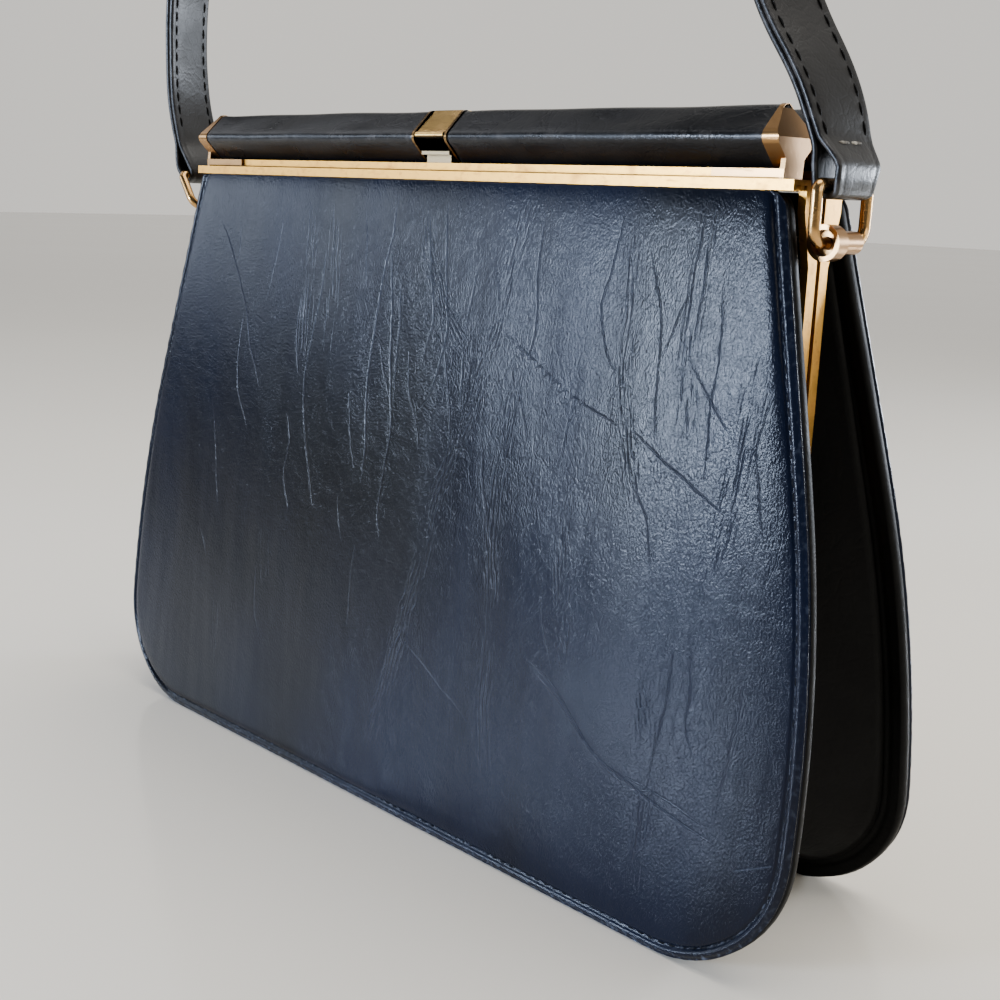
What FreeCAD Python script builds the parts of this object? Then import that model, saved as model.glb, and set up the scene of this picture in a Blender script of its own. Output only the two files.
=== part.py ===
import FreeCAD, Part
import math
import os
from FreeCAD import Vector

# Frame handbag: two stiff leather panels leaning together in an A, hung on a hinged metal frame.
# X runs along the width, -Y is the front, +Z is up, and the bag stands on Z = 0. Millimetres.

# Panels
panel_half_width = 136.0
panel_top_z = 178.8
base_half_depth = 32.2
top_half_depth = 13.7
belly_height = 34.0
belly_radius = 350.0
flare_angle = 12.0
top_corner_radius = 4.0
face_leather = 2.0
board_thickness = 1.2
backing_leather = 1.8
lining_thickness = 0.6
board_inset = 0.8
backing_inset = 0.3
lining_inset = 9.0
turned_edge = 1.2

# Frame halves
frame_overhang = 0.3
frame_plate = 1.2
frame_front_setback = 0.5
lip_drop = 1.2
inner_lip = 1.4
tongue_room = 0.3
leg_thickness = 2.0
leg_width = 3.4
leg_gap = 0.8
leg_shoulder_width = 6.8
leg_shoulder_top_drop = 7.0
leg_shoulder_height = 12.0
half_gap = 0.3
hinge_z = 86.0
hinge_tab_radius = 4.4
hinge_tab_shoulder = 0.6
lap_gap = 0.1
rivet_radius = 1.5
rivet_head_radius = 2.8
rivet_head_height = 0.85

# Rolls on top of the frame
roll_half_depth = 7.5
roll_half_height = 7.3
roll_corner_radius = 2.2
kiss_gap = 0.4
cap_skin = 0.25
roll_leather = 1.2
cap_band = 4.2
cap_skirt = 1.3
cap_end_inset = 3.5
cap_bevel = 3.4
end_plate = 1.2
rim_thickness = 0.8
centre_gap = 12.0
bed_lift = 0.4
bed_height = 1.8
bed_width = 6.6
bed_base_width = 3.4
bed_groove_depth = 0.9
bed_groove_width = 4.2
bed_groove_floor = 1.5
foot_strip_length = 19.0
foot_strip = 0.9

# Clasp
clasp_side_gap = 0.6
clasp_sheet = 1.2
clasp_barrel_radius = 5.2
clasp_pin_radius = 1.0
clasp_pin_grip = 2.2
hem_radius = 0.95
keeper_width = 9.5
keeper_height = 3.0
keeper_lip = 1.5
keeper_lip_height = 0.9

# Handle
handle_y = -1.0
post_y = 3.3
hanger_drop = 10.8
eye_offset = 5.0
eye_collar_radius = 4.0
eye_collar_length = 4.0
eye_tube_radius = 2.6
eye_tube_length = 9.0
eye_counterbore_radius = 2.9
eye_counterbore_depth = 1.6
post_radius = 1.3
post_head_radius = 2.5
post_head_height = 1.0
wire_radius = 1.35
ring_height = 12.5
ring_foot_radius = 3.6
ring_side_gap = 0.4
ring_tilt_right = 0.0
ring_tilt_left = 34.0
strap_width = 18.0
strap_leather = 1.6
strap_arch_rise = 25.9
strap_side_draw = 9.4
strap_right_radius = 4000.0
strap_loop_wall = 1.7
strap_fold_length = 9.0
strap_bulge = 9.2

# Gusset
gusset_thickness = 1.5
gusset_edge_inset = 5.0
gusset_fold_corner = 4.0
gusset_bottom_inset = 12.0
gusset_top_drop = 14.0
gusset_chords = 5

# Flat sides of a small head or of the ring's wire, and straight pieces of a bend
round_sides = 16
bend_steps = 3

# Clearances
seat_gap = 0.05
running_gap = 0.05
soft_gap = 0.3

# Derived sizes
lean = math.atan((base_half_depth - top_half_depth) / panel_top_z)
panel_length = panel_top_z / math.cos(lean)
flare = math.radians(flare_angle)
belly_center_u = panel_half_width - belly_radius
flare_start_u = belly_center_u + belly_radius * math.cos(flare)
flare_start_s = belly_height + belly_radius * math.sin(flare)
top_half_width = flare_start_u - (panel_length - flare_start_s) * math.tan(flare)
backing_start = face_leather + board_thickness + 2 * seat_gap
panel_thickness = backing_start + backing_leather

frame_half_width = top_half_width + frame_overhang
frame_front = top_half_depth - frame_front_setback
frame_under_z = panel_top_z + lip_drop
frame_top_z = frame_under_z + frame_plate
leg_inner_x = frame_half_width - leg_thickness
leg_outer_y = leg_gap + leg_width

roll_y = roll_half_depth + kiss_gap / 2
bed_bottom_z = frame_top_z + bed_lift
bed_top_z = bed_bottom_z + bed_height
bed_floor_z = bed_top_z - bed_groove_depth
roll_z = bed_floor_z + roll_half_height + soft_gap
cap_end_x = frame_half_width - cap_end_inset
cap_start_x = cap_end_x - cap_band
roll_end_x = cap_start_x + cap_skirt - seat_gap
rim_start_x = centre_gap / 2
roll_start_x = rim_start_x + rim_thickness + seat_gap

eye_x = frame_half_width + eye_offset
eye_z = panel_top_z - hanger_drop
ring_z = eye_z - running_gap
eye_bore_radius = wire_radius + 2 * running_gap
ring_head_radius = wire_radius + ring_side_gap
ring_half_span = strap_width / 2 + ring_head_radius

gusset_fold_inset = belly_height - gusset_fold_corner


def point_yz(y, z, x=0.0):
    """A point of a cross-section that is later run along X."""
    return Vector(x, y, z)


def prism_x(outline, x_start, x_end):
    """A solid with a cross-section in Y and Z, run from x_start to x_end."""
    corners = [point_yz(y, z, x_start) for y, z in outline]
    face = Part.Face(Part.makePolygon(corners + corners[:1]))
    return face.extrude(Vector(x_end - x_start, 0, 0))


def box(x0, x1, y0, y1, z0, z1):
    """A block between two corners, in any order."""
    low = Vector(min(x0, x1), min(y0, y1), min(z0, z1))
    return Part.makeBox(abs(x1 - x0), abs(y1 - y0), abs(z1 - z0), low)


def rod_x(radius, x_start, x_end, y, z):
    """A round bar along X."""
    start = min(x_start, x_end)
    return Part.makeCylinder(radius, abs(x_end - x_start), Vector(start, y, z), Vector(1, 0, 0))


def many_sided_rod_x(radius, x_start, x_end, y, z):
    """A bar along X whose section has many flat sides."""
    turns = [2 * math.pi * step / round_sides for step in range(round_sides)]
    outline = [(y + radius * math.cos(turn), z + radius * math.sin(turn)) for turn in turns]
    return prism_x(outline, x_start, x_end)


def mirror_x(shape):
    """The same shape on the other side of the middle."""
    return shape.mirror(Vector(0, 0, 0), Vector(1, 0, 0))


def mirror_y(shape):
    """The same shape on the other face of the bag."""
    return shape.mirror(Vector(0, 0, 0), Vector(0, 1, 0))


def fused(shapes):
    """One solid from several that touch."""
    whole = shapes[0].multiFuse(shapes[1:])
    return whole.removeSplitter()


def panel_point(u, s, n):
    """A point of the front panel: u across, s up the outer face, n inwards from it."""
    y = -(base_half_depth - s * math.sin(lean) - n * math.cos(lean))
    z = s * math.cos(lean) - n * math.sin(lean)
    return Vector(u, y, z)


def upright_point(u, s, n):
    """A point of the upright plane halfway between the panels."""
    return Vector(u, n, s * math.cos(lean))


def panel_stretches(inset, top):
    """The right half of the outline drawn in by inset: its two arcs (centre, radius, angles) and its side line."""
    reach = belly_radius - inset
    side_u = belly_center_u + reach * math.cos(flare)
    side_s = belly_height + reach * math.sin(flare)
    top_u = side_u - (top - side_s) * math.tan(flare)
    corner_arc = (panel_half_width - belly_height, belly_height, belly_height - inset, -math.pi / 2, 0.0)
    belly_arc = (belly_center_u, belly_height, reach, 0.0, flare)
    return corner_arc, belly_arc, (side_u, side_s), top_u


def panel_outline(place, n, inset, top, corner):
    """The panel's closed outline, drawn in by inset all round, with its top edge at height top."""
    corner_arc, belly_arc, side, top_u = panel_stretches(inset, top)
    tangent = corner * math.tan((math.pi / 2 - flare) / 2)
    side_end = (top_u + tangent * math.sin(flare), top - tangent * math.cos(flare))
    top_arc = (top_u - tangent, top - corner, corner, flare, math.pi / 2)
    edges = [Part.LineSegment(place(-corner_arc[0], inset, n), place(corner_arc[0], inset, n)).toShape()]
    for sign in (1, -1):
        for center_u, center_s, radius, start, end in (corner_arc, belly_arc, top_arc):
            angles = (start, (start + end) / 2, end)
            spots = [(center_u + radius * math.cos(a), center_s + radius * math.sin(a)) for a in angles]
            edges.append(Part.Arc(*[place(sign * u, s, n) for u, s in spots]).toShape())
        ends = (place(sign * side[0], side[1], n), place(sign * side_end[0], side_end[1], n))
        edges.append(Part.LineSegment(*ends).toShape())
    edges.append(Part.LineSegment(place(top_arc[0], top, n), place(-top_arc[0], top, n)).toShape())
    return Part.Wire(Part.__sortEdges__(edges))


def panel_corners(place, n, inset, top, shift):
    """The corner points of the outline with its round stretches drawn as straight pieces, raised by shift."""
    corner_arc, belly_arc, side, top_u = panel_stretches(inset, top)
    right = []
    for center_u, center_s, radius, start, end in (corner_arc, belly_arc):
        angles = [start + (end - start) * step / gusset_chords for step in range(gusset_chords + 1)]
        right += [(center_u + radius * math.cos(a), center_s + radius * math.sin(a)) for a in angles]
    del right[gusset_chords]
    right.append((top_u, top))
    left = [(-u, s) for u, s in reversed(right)]
    return [place(u, s + shift, n) for u, s in right + left]


def flat_face(corners):
    """A flat face with the given corners."""
    return Part.Face(Part.makePolygon(corners + corners[:1]))


def panel_layer(start, thickness, inset, top):
    """One sheet of the front panel, between two depths, cut flat where the bag stands."""
    wire = panel_outline(panel_point, start, inset, top, top_corner_radius)
    inwards = panel_point(0, 0, thickness) - panel_point(0, 0, 0)
    return Part.Face(wire).extrude(inwards)


def cut_at_floor(shape):
    """Takes off what would lie under the floor."""
    below = box(-2 * panel_half_width, 2 * panel_half_width, -100, 100, -20, 0)
    return shape.cut(below)


def front_face_leather():
    """The face leather, its edge turned down all round."""
    sheet = panel_layer(0.0, face_leather, 0.0, panel_length)
    outer = panel_point(0, 0, 0)
    normal = (panel_point(0, 0, 1) - outer).normalize()
    rim = [e for e in sheet.Edges if all(abs((v.Point - outer).dot(normal)) < 1e-6 for v in e.Vertexes)]
    return cut_at_floor(sheet.makeChamfer(turned_edge, rim))


def front_board():
    """The stiff board, with a tongue along its top that enters the frame rail."""
    start = face_leather + seat_gap
    sheet = panel_layer(start, board_thickness, board_inset, panel_length - seat_gap)
    tongue_half = top_half_width - 2 * top_corner_radius
    foot = panel_length - top_corner_radius
    tip = panel_length + 2 * lip_drop
    spots = [(foot, start), (foot, start + board_thickness), (tip, start + board_thickness), (tip, start)]
    profile = [panel_point(-tongue_half, s, n) for s, n in spots]
    tongue = Part.Face(Part.makePolygon(profile + profile[:1])).extrude(Vector(2 * tongue_half, 0, 0))
    rail = box(-panel_half_width, panel_half_width, -base_half_depth, 0, frame_under_z - seat_gap, 2 * frame_top_z)
    return fused([sheet, tongue.cut(rail)])


def front_backing():
    """The leather that backs the board, towards the inside."""
    return cut_at_floor(panel_layer(backing_start, backing_leather, backing_inset, panel_length))


def front_lining():
    """The thin lining on the backing, inside the line where the gusset is sewn."""
    start = panel_thickness + seat_gap
    return panel_layer(start, lining_thickness, lining_inset, panel_length - lining_inset)


def frame_rail():
    """The front rail: a flat top plate with two lips that grip the panel's board."""
    half = frame_half_width
    tongue_front = panel_point(0, panel_length, face_leather).y
    slot_front = tongue_front - tongue_room
    slot_back = tongue_front + board_thickness + tongue_room
    plate = box(-half, half, -frame_front, -half_gap, frame_under_z, frame_top_z)
    lip_z = panel_top_z + seat_gap
    outer_lip = box(-half, half, -frame_front, slot_front, lip_z, frame_under_z)
    rear_lip = box(-half, half, slot_back, slot_back + inner_lip, lip_z, frame_under_z)
    return fused([plate, outer_lip, rear_lip])


def frame_leg(lap_outside):
    """The front half's right leg, with a half-thick round tab at its hinge."""
    inner = -leg_gap
    outer = -leg_outer_y
    shoulder = -leg_gap - leg_shoulder_width
    strip_bottom = hinge_z + hinge_tab_radius + hinge_tab_shoulder
    shoulder_top = frame_top_z - leg_shoulder_top_drop
    outline = [(inner, frame_under_z), (inner, strip_bottom), (outer, strip_bottom),
               (outer, shoulder_top - leg_shoulder_height), (shoulder, shoulder_top), (shoulder, frame_under_z)]
    strip = prism_x(outline, leg_inner_x, frame_half_width)
    lap = (leg_thickness - lap_gap) / 2
    if lap_outside:
        lap_start = frame_half_width - lap
    else:
        lap_start = leg_inner_x
    tab = rod_x(hinge_tab_radius, lap_start, lap_start + lap, 0, hinge_z)
    neck = box(lap_start, lap_start + lap, outer, inner, hinge_z, strip_bottom)
    return fused([strip, tab, neck])


def frame_half(lap_outside, pin_gap):
    """One half of the frame in the front position: rail and two legs, bored for the rivets."""
    leg = frame_leg(lap_outside)
    whole = fused([frame_rail(), leg, mirror_x(leg)])
    reach = 2 * frame_half_width
    return whole.cut(rod_x(rivet_radius + pin_gap, -reach, reach, 0, hinge_z))


def hinge_rivet():
    """The right rivet through both leg tabs, with a head on each side."""
    inner = leg_inner_x - seat_gap
    outer = frame_half_width + seat_gap
    half_head = rivet_head_height / 2
    shank = rod_x(rivet_radius, inner - half_head, outer + half_head, 0, hinge_z)
    inner_head = many_sided_rod_x(rivet_head_radius, inner - rivet_head_height, inner, 0, hinge_z)
    outer_head = many_sided_rod_x(rivet_head_radius, outer, outer + rivet_head_height, 0, hinge_z)
    return fused([shank, inner_head, outer_head])


def diamond(grow, plain):
    """The diamond section of the front roll as a wire at X = 0, grown by grow, with plain or rounded corners."""
    slope = math.hypot(roll_half_depth, roll_half_height)
    steep_y = slope / roll_half_height
    steep_z = slope / roll_half_depth
    radius = roll_corner_radius + grow
    half_y = roll_half_depth + roll_corner_radius * (steep_y - 1) + grow * steep_y
    half_z = roll_half_height + roll_corner_radius * (steep_z - 1) + grow * steep_z
    corners = [(-half_y, 0), (0, half_z), (half_y, 0), (0, -half_z)]
    if plain:
        tips = [point_yz(y - roll_y, z + roll_z) for y, z in corners]
        return Part.makePolygon(tips + tips[:1])
    edges = []
    ends = []
    for index, (y, z) in enumerate(corners):
        before = corners[index - 1]
        after = corners[(index + 1) % len(corners)]
        ends.append(rounded_corner((y, z), before, after, radius))
    for index, (start, middle, end) in enumerate(ends):
        edges.append(Part.Arc(start, middle, end).toShape())
        edges.append(Part.LineSegment(end, ends[(index + 1) % len(ends)][0]).toShape())
    return Part.Wire(edges)


def rounded_corner(corner, before, after, radius):
    """Start, middle and end of the arc that rounds a corner of the roll's section."""
    tip = point_yz(corner[0] - roll_y, corner[1] + roll_z)
    back = (point_yz(before[0] - roll_y, before[1] + roll_z) - tip).normalize()
    ahead = (point_yz(after[0] - roll_y, after[1] + roll_z) - tip).normalize()
    half_turn = back.getAngle(ahead) / 2
    reach = radius / math.tan(half_turn)
    inwards = (back + ahead).normalize()
    middle = tip + inwards * (radius / math.sin(half_turn) - radius)
    return tip + back * reach, middle, tip + ahead * reach


def diamond_bar(grow, x_start, x_end, plain=False):
    """A bar with the roll's section."""
    bar = Part.Face(diamond(grow, plain)).extrude(Vector(x_end - x_start, 0, 0))
    return bar.translated(Vector(x_start, 0, 0))


def roll_sleeve():
    """The leather wrapped round the front right core."""
    outside = diamond_bar(-cap_skin, roll_start_x, roll_end_x)
    hollow = diamond_bar(-cap_skin - roll_leather, roll_start_x, roll_end_x, True)
    return outside.cut(hollow)


def roll_core():
    """The bar that the front right roll's leather is wrapped on."""
    return diamond_bar(-cap_skin - roll_leather - seat_gap, roll_start_x, roll_end_x, True)


def end_cap():
    """The gold cap on the front right roll's outer end, with its plate and foot strip on the frame."""
    body = diamond_bar(0, roll_end_x + seat_gap, cap_end_x)
    skirt = diamond_bar(0, cap_start_x, roll_end_x + seat_gap)
    skirt = skirt.cut(diamond_bar(seat_gap - cap_skin, cap_start_x, roll_end_x + seat_gap))
    past_z = roll_z + 2 * roll_half_height
    slope = [Vector(cap_end_x, 0, roll_z), Vector(cap_end_x - 2 * cap_bevel, 0, past_z),
             Vector(cap_end_x, 0, past_z)]
    wedge = Part.Face(Part.makePolygon(slope + slope[:1])).extrude(Vector(0, -3 * roll_y, 0))
    bed_half = bed_width / 2 + seat_gap
    plate_front = -roll_y - bed_half - foot_strip
    plate_outline = [(plate_front, frame_top_z + seat_gap), (-roll_y + bed_half, frame_top_z + seat_gap),
                     (-roll_y + roll_half_depth / 2, roll_z - roll_half_height / 2),
                     (-roll_y - roll_half_depth / 2, roll_z - roll_half_height / 2)]
    plate = prism_x(plate_outline, cap_end_x - end_plate, cap_end_x)
    strip = box(cap_end_x - foot_strip_length, cap_end_x, plate_front, plate_front + foot_strip,
                bed_bottom_z, bed_top_z)
    return fused([body.cut(wedge), skirt, plate, strip])


def inner_rim():
    """The thin plate that closes the front right roll's inner end."""
    return diamond_bar(0, rim_start_x, rim_start_x + rim_thickness)


def bed_bar():
    """The strip under the front rolls: a shallow trough on a narrower base."""
    half = bed_width / 2
    base = bed_base_width / 2
    groove = bed_groove_width / 2
    floor_half = bed_groove_floor / 2
    reach = cap_end_x - end_plate - seat_gap
    outline = [(-base, frame_top_z + seat_gap), (base, frame_top_z + seat_gap), (base, bed_bottom_z),
               (half, bed_bottom_z), (half, bed_top_z), (groove, bed_top_z), (floor_half, bed_floor_z),
               (-floor_half, bed_floor_z), (-groove, bed_top_z), (-half, bed_top_z),
               (-half, bed_bottom_z), (-base, bed_bottom_z)]
    return prism_x([(y - roll_y, z) for y, z in outline], -reach, reach)


def keeper():
    """The keeper in the centre gap: a narrow foot on the bed strip and a wider lip on top."""
    foot_z = bed_top_z + seat_gap
    top_z = foot_z + keeper_height
    half = bed_width / 2
    foot_outline = [(-roll_y - half, foot_z), (-roll_y + half, foot_z),
                    (-roll_y + half / 2, top_z), (-roll_y - half, top_z)]
    foot = prism_x(foot_outline, -keeper_width / 2, keeper_width / 2)
    lip_half = centre_gap / 2 - clasp_side_gap
    lip = box(-lip_half, lip_half, -roll_y - half - keeper_lip, -roll_y + half / 2,
              top_z - keeper_lip_height, top_z)
    return fused([foot, lip])


def clasp_plate():
    """The lift plate: a barrel on its pin, a flat top and a slope down to a hemmed front edge."""
    half = centre_gap / 2 - clasp_side_gap
    top_z = roll_z + roll_half_height + seat_gap
    under_z = top_z - clasp_sheet
    ridge_y = -roll_y - roll_half_depth + hem_radius
    hem_z = roll_z + hem_radius / 2
    drop = clasp_sheet * math.sqrt(2)
    back_y = roll_y
    sheet_outline = [(back_y, under_z - clasp_sheet), (back_y, top_z), (-roll_y, top_z),
                     (ridge_y - hem_radius / 2, hem_z + hem_radius / 2), (ridge_y + hem_radius, hem_z),
                     (-roll_y + drop / 2, under_z), (0, under_z)]
    sheet = prism_x(sheet_outline, -half, half)
    hem = rod_x(hem_radius, -half, half, ridge_y, hem_z)
    barrel = rod_x(clasp_barrel_radius, -half, half, roll_y, roll_z)
    neck = box(-half, half, roll_y - clasp_barrel_radius / 2, back_y, roll_z, under_z)
    bore = rod_x(clasp_pin_radius + running_gap, -half, half, roll_y, roll_z)
    return fused([sheet, hem, barrel, neck]).cut(bore)


def clasp_pin_reach():
    """How far the lift plate's pin goes to each side of the middle."""
    return roll_start_x + clasp_pin_grip


def clasp_pin():
    """The pin of the lift plate, held in the two back cores."""
    reach = clasp_pin_reach()
    return rod_x(clasp_pin_radius, -reach, reach, roll_y, roll_z)


def pin_hole():
    """The room that the lift plate's pin takes in the back rims and cores."""
    reach = clasp_pin_reach() + seat_gap
    return rod_x(clasp_pin_radius + seat_gap, -reach, reach, roll_y, roll_z)


def hanger():
    """The right hanger: a headed post through the back leg, and an eye tube along Y for the ring."""
    inner = leg_inner_x - 2 * running_gap
    post = rod_x(post_radius, inner - post_head_height / 2, eye_x, post_y, eye_z)
    head = many_sided_rod_x(post_head_radius, inner - post_head_height, inner, post_y, eye_z)
    along = Vector(0, 1, 0)
    length = eye_collar_length + eye_tube_length
    front_y = handle_y - length / 2
    collar = Part.makeCylinder(eye_collar_radius, eye_collar_length, Vector(eye_x, front_y, eye_z), along)
    tube = Part.makeCylinder(eye_tube_radius, length, Vector(eye_x, front_y, eye_z), along)
    bore = Part.makeCylinder(eye_bore_radius, 3 * length, Vector(eye_x, front_y - length, eye_z), along)
    recess_y = front_y + eye_counterbore_depth
    recess = Part.makeCylinder(eye_counterbore_radius, length, Vector(eye_x, recess_y - length, eye_z), along)
    solid = fused([collar, tube, post, head])
    return solid.cut(recess).cut(bore)


def bend_points(center_y, center_z, radius, start):
    """The points along one bend of the ring, a quarter turn from the given angle."""
    angles = [math.radians(start + 90 * step / bend_steps) for step in range(bend_steps + 1)]
    return [Vector(0, center_y + radius * math.cos(a), center_z + radius * math.sin(a)) for a in angles]


def ring(tilt):
    """The right wire ring: a rounded rectangle of round wire whose lower side runs through the eye."""
    foot_y = ring_half_span - ring_foot_radius
    head_y = ring_half_span - ring_head_radius
    head_z = ring_height - ring_head_radius
    middle = Vector(0, 0, 0)
    points = [middle] + bend_points(foot_y, ring_foot_radius, ring_foot_radius, 270)
    points += bend_points(head_y, head_z, ring_head_radius, 0)
    points += bend_points(-head_y, head_z, ring_head_radius, 90)
    points += bend_points(-foot_y, ring_foot_radius, ring_foot_radius, 180)
    turns = [2 * math.pi * step / round_sides for step in range(round_sides)]
    sides = [Vector(wire_radius * math.cos(turn), 0, wire_radius * math.sin(turn)) for turn in turns]
    section = Part.makePolygon(sides + sides[:1])
    spine = Part.makePolygon(points + [middle])
    whole = spine.makePipeShell([section], True, False, 1)
    whole.rotate(middle, Vector(0, 1, 0), tilt)
    return whole.translated(Vector(eye_x, handle_y, ring_z))


def ring_bar(tilt):
    """Where the right ring's upper side lies, as X and Z."""
    angle = math.radians(tilt)
    return eye_x + ring_height * math.sin(angle), ring_z + ring_height * math.cos(angle)


def strap_path():
    """The strap's middle line as arcs (centre X, centre Z, radius, start, end), right ring to left."""
    right_x, right_z = ring_bar(ring_tilt_right)
    left_x, left_z = ring_bar(ring_tilt_left)
    bulge_x = left_x + strap_bulge
    arch_radius = (bulge_x + right_x) / 2 - strap_side_draw
    arch_z = right_z + strap_arch_rise
    arch_x = arch_radius - bulge_x
    # the right arc is tangent to the arch from inside and passes through the right ring
    between = strap_right_radius - arch_radius
    reach = math.hypot(right_x - arch_x, right_z - arch_z)
    along = (between ** 2 - strap_right_radius ** 2 + reach ** 2) / (2 * reach)
    aside = math.sqrt(between ** 2 - along ** 2)
    unit_x = (right_x - arch_x) / reach
    unit_z = (right_z - arch_z) / reach
    side_x = arch_x + along * unit_x + aside * unit_z
    side_z = arch_z + along * unit_z - aside * unit_x
    start = math.atan2(right_z - side_z, right_x - side_x)
    joint = math.atan2(arch_z - side_z, arch_x - side_x)
    # the left arc turns in from the bulge to the left ring
    inwards = bulge_x - left_x
    down = arch_z - left_z
    left_radius = (inwards ** 2 + down ** 2) / (2 * inwards)
    left_turn = math.asin(down / left_radius)
    return [(side_x, side_z, strap_right_radius, start, joint),
            (arch_x, arch_z, arch_radius, joint, math.pi),
            (left_radius - bulge_x, arch_z, left_radius, math.pi, math.pi + left_turn)]


def strap_spot(arc, angle, offset):
    """A point beside an arc of the strap's path."""
    center_x, center_z, radius = arc[:3]
    return Vector(center_x + (radius + offset) * math.cos(angle), 0,
                  center_z + (radius + offset) * math.sin(angle))


def strap_band(path, inside, outside):
    """A strip that follows the path between two distances from it, across the strap's width."""
    edges = []
    for offset, arcs in ((outside, path), (inside, path[::-1])):
        for arc in arcs:
            start, end = arc[3], arc[4]
            spots = [strap_spot(arc, angle, offset) for angle in (start, (start + end) / 2, end)]
            edges.append(Part.Arc(*spots).toShape())
    for arc, angle in ((path[0], path[0][3]), (path[-1], path[-1][4])):
        edges.append(Part.LineSegment(strap_spot(arc, angle, inside), strap_spot(arc, angle, outside)).toShape())
    wire = Part.Wire(Part.__sortEdges__(edges))
    return across_strap(Part.Face(wire))


def across_strap(face):
    """Runs a flat X and Z shape across the strap's width."""
    band = face.extrude(Vector(0, strap_width, 0))
    return band.translated(Vector(0, handle_y - strap_width / 2, 0))


def trimmed(path, length):
    """The path without a length at each end."""
    first = path[0][:3] + (path[0][3] + length / path[0][2], path[0][4])
    last = path[-1][:4] + (path[-1][4] - length / path[-1][2],)
    return [first] + path[1:-1] + [last]


def strap_loop(arc, end, towards):
    """The folded end of the strap round the ring's upper side, swelling from the strap's thickness."""
    outer = wire_radius + ring_side_gap / 2 + strap_loop_wall
    far = end + towards * strap_fold_length / arc[2]
    hem = Part.makeCylinder(outer, strap_width, strap_spot(arc, end, 0), Vector(0, 1, 0))
    corners = [strap_spot(arc, end, outer), strap_spot(arc, far, strap_leather),
               strap_spot(arc, far, -strap_leather), strap_spot(arc, end, -outer)]
    swell = across_strap(Part.Face(Part.makePolygon(corners + corners[:1])))
    return [hem.translated(Vector(0, handle_y - strap_width / 2, 0)), swell]


def strap_outer():
    """The strap's outer leather with its two folded ends."""
    path = strap_path()
    pieces = [strap_band(path, 0.0, strap_leather)]
    pieces += strap_loop(path[0], path[0][3], 1)
    pieces += strap_loop(path[-1], path[-1][4], -1)
    whole = fused(pieces)
    for arc, angle in ((path[0], path[0][3]), (path[-1], path[-1][4])):
        hole = Part.makeCylinder(wire_radius + ring_side_gap / 2, 2 * strap_width,
                                 strap_spot(arc, angle, 0) - Vector(0, strap_width, 0), Vector(0, 1, 0))
        whole = whole.cut(hole)
    return whole


def strap_lining():
    """The strap's inner leather, between the two folded ends."""
    return strap_band(trimmed(strap_path(), strap_fold_length + soft_gap), -strap_leather, -seat_gap)


def gusset_hull(inset, extra_top):
    """The closed form between the panels: outline, drawn-in fold halfway, outline."""
    depth = panel_thickness + soft_gap
    top = panel_length - gusset_top_drop + extra_top
    rise = gusset_bottom_inset - gusset_fold_inset
    edge_inset = gusset_edge_inset + inset
    fold_inset = gusset_fold_inset + inset
    front = panel_corners(panel_point, depth, edge_inset, top, 0.0)
    fold = panel_corners(upright_point, 0.0, fold_inset, top - rise, rise)
    back = [Vector(corner.x, -corner.y, corner.z) for corner in front]
    faces = [flat_face(front), flat_face(back)]
    for near, far in ((front, fold), (fold, back)):
        for index in range(len(near)):
            after = (index + 1) % len(near)
            faces.append(flat_face([near[index], near[after], far[after]]))
            faces.append(flat_face([near[index], far[after], far[index]]))
    return Part.makeSolid(Part.makeShell(faces))


def gusset():
    """The gusset: a thin trough along the sides and bottom, folded inwards between the panels."""
    outside = gusset_hull(0.0, 0.0)
    inside = gusset_hull(gusset_thickness, gusset_top_drop)
    return outside.cut(inside)


def both_sides(name, shape, nodes):
    """Adds a right-hand piece and its left-hand mirror image."""
    nodes[name + "_right"] = shape
    nodes[name + "_left"] = mirror_x(shape)


def half_nodes():
    """The pieces that both halves share, in the front position."""
    nodes = {
        "panel_leather": front_face_leather(),
        "panel_board": front_board(),
        "panel_backing": front_backing(),
        "lining": front_lining(),
        "bed_bar": bed_bar(),
    }
    both_sides("roll_core", roll_core(), nodes)
    both_sides("roll_leather", roll_sleeve(), nodes)
    both_sides("end_cap", end_cap(), nodes)
    both_sides("inner_rim", inner_rim(), nodes)
    return nodes


def build():
    """All pieces by name."""
    nodes = {}
    for name, shape in half_nodes().items():
        nodes["front_" + name] = shape
        nodes["back_" + name] = mirror_y(shape)
    nodes["front_frame"] = frame_half(True, running_gap)
    reach = 2 * frame_half_width
    post_bore = rod_x(post_radius + running_gap, -reach, reach, post_y, eye_z)
    nodes["back_frame"] = mirror_y(frame_half(False, seat_gap)).cut(post_bore)
    for name in ("roll_core", "inner_rim"):
        for side in ("left", "right"):
            node = "back_" + name + "_" + side
            nodes[node] = nodes[node].cut(pin_hole())
    nodes["front_keeper"] = keeper()
    nodes["clasp_plate"] = clasp_plate()
    nodes["clasp_pin"] = clasp_pin()
    both_sides("hinge_rivet", hinge_rivet(), nodes)
    both_sides("hanger", hanger(), nodes)
    nodes["ring_right"] = ring(ring_tilt_right)
    nodes["ring_left"] = mirror_x(ring(ring_tilt_left))
    nodes["strap_outer"] = strap_outer()
    nodes["strap_lining"] = strap_lining()
    nodes["gusset"] = gusset()
    return nodes


os.makedirs("parts", exist_ok=True)
for node_name, node_shape in build().items():
    node_shape.exportStep("parts/" + node_name + ".step")
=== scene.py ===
import math

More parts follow.
